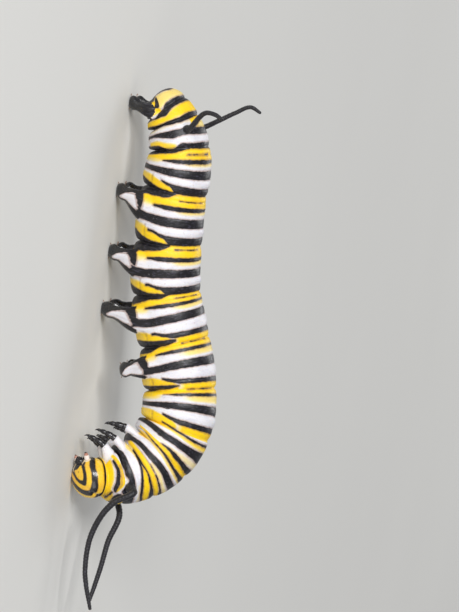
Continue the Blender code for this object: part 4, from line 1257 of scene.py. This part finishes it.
# Amber cuticle: hard and half clear, tanned less than the feet. It gives the eye warm brown glints on black.
hook_material, tree, shader, place = new_material("amber_cuticle")
tanning = add_node(tree, "ShaderNodeTexNoise", {"Vector": place, "Scale": per_mm(0.08)})
set_inputs(tree, shader, {"Base Color": laid_over(tree, "#5A2E12", (tanning, "#A8692A")), "Roughness": 0.25})
HOOKS, HOOK_LENGTH, HOOK_WIDTH, HOOK_ARC = 26, 0.16, 0.03, 200
HOOK_PLACE, HOOK_HEIGHT, HOOK_LEAN = 0.90, 0.09, 0.42


def new_tree(name, sizes):
    """A Geometry Nodes tree with named inputs for its sizes, and the node that gives them."""
    tree = bpy.data.node_groups.new(name, "GeometryNodeTree")
    tree.interface.new_socket("Geometry", in_out="OUTPUT", socket_type="NodeSocketGeometry")
    tree.interface.new_socket("Geometry", in_out="INPUT", socket_type="NodeSocketGeometry")
    for label, kind in sizes.items():
        tree.interface.new_socket(label, in_out="INPUT", socket_type=kind)
    return tree, add_node(tree, "NodeGroupInput").node.outputs


def stood_on(tree, points, piece, way, material, **placing):
    """Ends a tree: stands a piece on each point along a way, makes the copies real and gives them a material."""
    turned = add_node(tree, "FunctionNodeAlignRotationToVector", {"Vector": way}, axis="Z")
    placing = {"Points": points, "Instance": piece, "Rotation": turned, **placing}
    real = add_node(tree, "GeometryNodeRealizeInstances", (add_node(tree, "GeometryNodeInstanceOnPoints", placing),))
    painted = add_node(tree, "GeometryNodeSetMaterial", {"Geometry": real, "Material": material})
    set_inputs(tree, tree.nodes.new("NodeGroupOutput"), (painted,))


def made_by_nodes(name, source, tree, values):
    """The plain mesh object that a tree makes from a source mesh."""
    holder = bpy.data.objects.new(name + "_source", source)
    bpy.context.scene.collection.objects.link(holder)
    modifier = holder.modifiers.new("made", "NODES")
    modifier.node_group = tree
    sockets = {item.name: item.identifier for item in tree.interface.items_tree if item.in_out == "INPUT"}
    for label, value in values.items():
        modifier[sockets[label]] = value
    graph = bpy.context.evaluated_depsgraph_get()
    mesh = bpy.data.meshes.new_from_object(holder.evaluated_get(graph))
    mesh.name = name
    bpy.data.objects.remove(holder)
    obj = bpy.data.objects.new(name, mesh)
    bpy.context.scene.collection.objects.link(obj)
    return obj


tree, given = new_tree("hooks_on_points", {"Length": "NodeSocketFloat", "Width": "NodeSocketFloat"})
spike = {"Vertices": 6, "Side Segments": 3, "Radius Top": 0, "Radius Bottom": given["Width"], "Depth": given["Length"]}
spike = add_node(tree, "GeometryNodeMeshCone", spike)
lean = add_node(tree, "GeometryNodeInputNamedAttribute", {"Name": "lean"}, "Attribute", data_type="FLOAT_VECTOR")
stood_on(tree, given["Geometry"], spike, lean, hook_material)

hook_points, hook_leans = [], []
for foot, along, inwards in feet.values():
    up = np.cross(along, inwards)
    up = up if up[2] > 0 else -up
    for k in range(HOOKS):
        t = math.radians(90 + HOOK_ARC * (k / (HOOKS - 1) - 0.5))
        out = math.cos(t) * along + math.sin(t) * inwards
        spot = FOOT_HALF_LENGTH * math.cos(t) * along + FOOT_HALF_WIDTH * math.sin(t) * inwards
        hook_points.append((foot + HOOK_PLACE * spot + up * HOOK_HEIGHT - shift) * MM)
        hook_leans.append(out - up * HOOK_LEAN)
spots = bpy.data.meshes.new("hook_spots")
spots.from_pydata([tuple(p) for p in hook_points], [], [])
leans = spots.attributes.new("lean", "FLOAT_VECTOR", "POINT").data
leans.foreach_set("vector", np.array(hook_leans, np.float32).reshape(-1))
hooks = made_by_nodes("crochets", spots, tree, {"Length": HOOK_LENGTH * MM, "Width": HOOK_WIDTH * MM / 2})
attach(hooks, "root")

# Setae: sparse, fine black bristles of hard cuticle, each grown from its own socket in the skin, and leaning to the
# tail. They are drawn 0.014 mm across, as thick as they need to be to show, and none is put on the soles, where
# it would pass through the floor.

# Bristle cuticle: a thin stiff hair of tanned cuticle. It gives the eye fine brown-black lines that catch the light.
SETAE_PER_MM2, SETA_LENGTH, SETA_WIDTH, SETA_SEED = 0.9, 0.16, 0.014, 7
seta_material, tree, shader, place = new_material("bristle_cuticle")
tanning = add_node(tree, "ShaderNodeTexNoise", {"Vector": place, "Scale": per_mm(0.3)})
set_inputs(tree, shader, {"Base Color": laid_over(tree, "#171114", (tanning, "#4A3A34")), "Roughness": 0.35})
tree, given = new_tree("bristles_on_skin", {
    "Density": "NodeSocketFloat", "Length": "NodeSocketFloat", "Width": "NodeSocketFloat", "Lowest": "NodeSocketFloat",
    "Seed": "NodeSocketInt",
})
level = add_node(tree, "ShaderNodeSeparateXYZ", (add_node(tree, "GeometryNodeInputPosition"),), "Z")
off_floor = add_node(tree, "FunctionNodeCompare", {"A": level, "B": given["Lowest"]}, operation="GREATER_THAN")
spread = {"Selection": off_floor, "Mesh": given["Geometry"], "Density": given["Density"], "Seed": given["Seed"]}
points = add_node(tree, "GeometryNodeDistributePointsOnFaces", spread)
leaning = add_node(tree, "ShaderNodeVectorMath", (points.node.outputs["Normal"], (-0.55, 0, -0.1)), operation="ADD")
bristle = {"Vertices": 4, "Side Segments": 2, "Radius Top": 0}
bristle = {**bristle, "Radius Bottom": given["Width"], "Depth": given["Length"]}
bristle = add_node(tree, "GeometryNodeMeshCone", bristle)
sizes = add_node(tree, "FunctionNodeRandomValue", {2: 0.55, 3: 1.0, "Seed": given["Seed"]}, 1, data_type="FLOAT")
stood_on(tree, points, bristle, leaning, seta_material, Scale=sizes)
setae = made_by_nodes("bristles", skin.data, tree, {
    "Density": SETAE_PER_MM2 / MM**2, "Length": SETA_LENGTH * MM, "Width": SETA_WIDTH * MM / 2,
    "Lowest": SETA_LENGTH * MM * 2, "Seed": SETA_SEED,
})
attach(setae, "root")

# The floor: a plain, pale studio board, which is laid flat under the larva and reaches well past the picture.

# Matt emulsion paint: rolled on. It gives the eye an even, shadow-catching white with no gloss.
FLOOR_HALF, FLOOR_DROP = 3.0, 0.01
floor_material, tree, shader, place = new_material("matt_emulsion_paint")
tone = add_node(tree, "ShaderNodeTexNoise", {"Vector": place, "Scale": per_mm(60)})
set_inputs(tree, shader, {
    "Base Color": laid_over(tree, "#E3E2DE", (tone, "#E7E6E2")), "Roughness": 0.9, "Specular IOR Level": 0.2,
})
mesh = bpy.data.meshes.new("floor")
corners = ((-1, -1), (1, -1), (1, 1), (-1, 1))
mesh.from_pydata([(x * FLOOR_HALF, y * FLOOR_HALF, -FLOOR_DROP * MM) for x, y in corners], [], [(0, 1, 2, 3)])
mesh.materials.append(floor_material)
floor = bpy.data.objects.new("floor", mesh)
bpy.context.scene.collection.objects.link(floor)

# The camera looks at the larva's right side from a little above the floor. It is turned on its side, because the
# larva was photographed head down.
VIEW_TURN, VIEW_RAISE, VIEW_ROLL = math.radians(-5), math.radians(10), math.radians(99.17038467)
VIEW_DISTANCE, VIEW_TARGET = 300.0, np.array([17.10951, 0.0, 11.46070])
MM_PER_PIXEL, PICTURE_HEIGHT, SENSOR = 0.09, 612, 36.0
level = np.array([math.cos(VIEW_TURN), math.sin(VIEW_TURN), 0.0])
upright = np.array([
    -math.sin(VIEW_TURN) * math.sin(VIEW_RAISE), math.cos(VIEW_TURN) * math.sin(VIEW_RAISE), math.cos(VIEW_RAISE),
])
view_right = math.cos(VIEW_ROLL) * level + math.sin(VIEW_ROLL) * upright
view_up = -math.sin(VIEW_ROLL) * level + math.cos(VIEW_ROLL) * upright
view_back = np.cross(level, upright)
lens = bpy.data.cameras.new("camera")
lens.sensor_fit = "VERTICAL"
lens.sensor_height = SENSOR
lens.lens = SENSOR * VIEW_DISTANCE / (PICTURE_HEIGHT * MM_PER_PIXEL)
lens.clip_start, lens.clip_end = 0.01, 20.0


def stand(data, name, target, back, distance, up):
    """Places a camera or a lamp at a distance in mm from a target, looking at it."""
    obj = bpy.data.objects.new(name, data)
    bpy.context.scene.collection.objects.link(obj)
    back = back / np.linalg.norm(back)
    side = np.cross(up, back)
    side /= np.linalg.norm(side)
    matrix = np.eye(4)
    matrix[:3, 0], matrix[:3, 1], matrix[:3, 2] = side, np.cross(back, side), back
    matrix[:3, 3] = (target - shift + back * distance) * MM
    obj.matrix_world = [list(row) for row in matrix.T]
    return obj


bpy.context.scene.camera = stand(lens, "camera", VIEW_TARGET, view_back, VIEW_DISTANCE, view_up)

# Soft studio light: square cloth-fronted lamps on stands. The key stands by the camera's shoulder, with a smaller
# one beside the lens, a broad weak one on the other side and one behind, in a pale grey room.

# Each lamp's direction, its distance and size in mm, and its power in watts.
LAMPS = (
    ("key_lamp", view_back + view_right * 0.55 + view_up * 0.35, 700.0, 240.0, 2.8),
    ("flash_lamp", view_back + view_right * 0.10 + view_up * 0.30, 600.0, 110.0, 1.2),
    ("fill_lamp", view_back * 0.9 - view_up * 0.8 - view_right * 0.2, 800.0, 500.0, 1.7),
    ("rim_lamp", -view_back * 0.8 + view_right * 0.9 + view_up * 0.2, 700.0, 350.0, 1.2),
)
for name, way, distance, size, power in LAMPS:
    lamp = bpy.data.lights.new(name, "AREA")
    lamp.size, lamp.energy = size * MM, power
    stand(lamp, name, VIEW_TARGET, way, distance, view_up)
world = bpy.data.worlds.new("pale_room")
world.use_nodes = True
world.node_tree.nodes["Background"].inputs["Color"].default_value = hex_colour("#F2F4F8")
world.node_tree.nodes["Background"].inputs["Strength"].default_value = 0.30
bpy.context.scene.world = world
bpy.context.scene.view_settings.view_transform = "Standard"
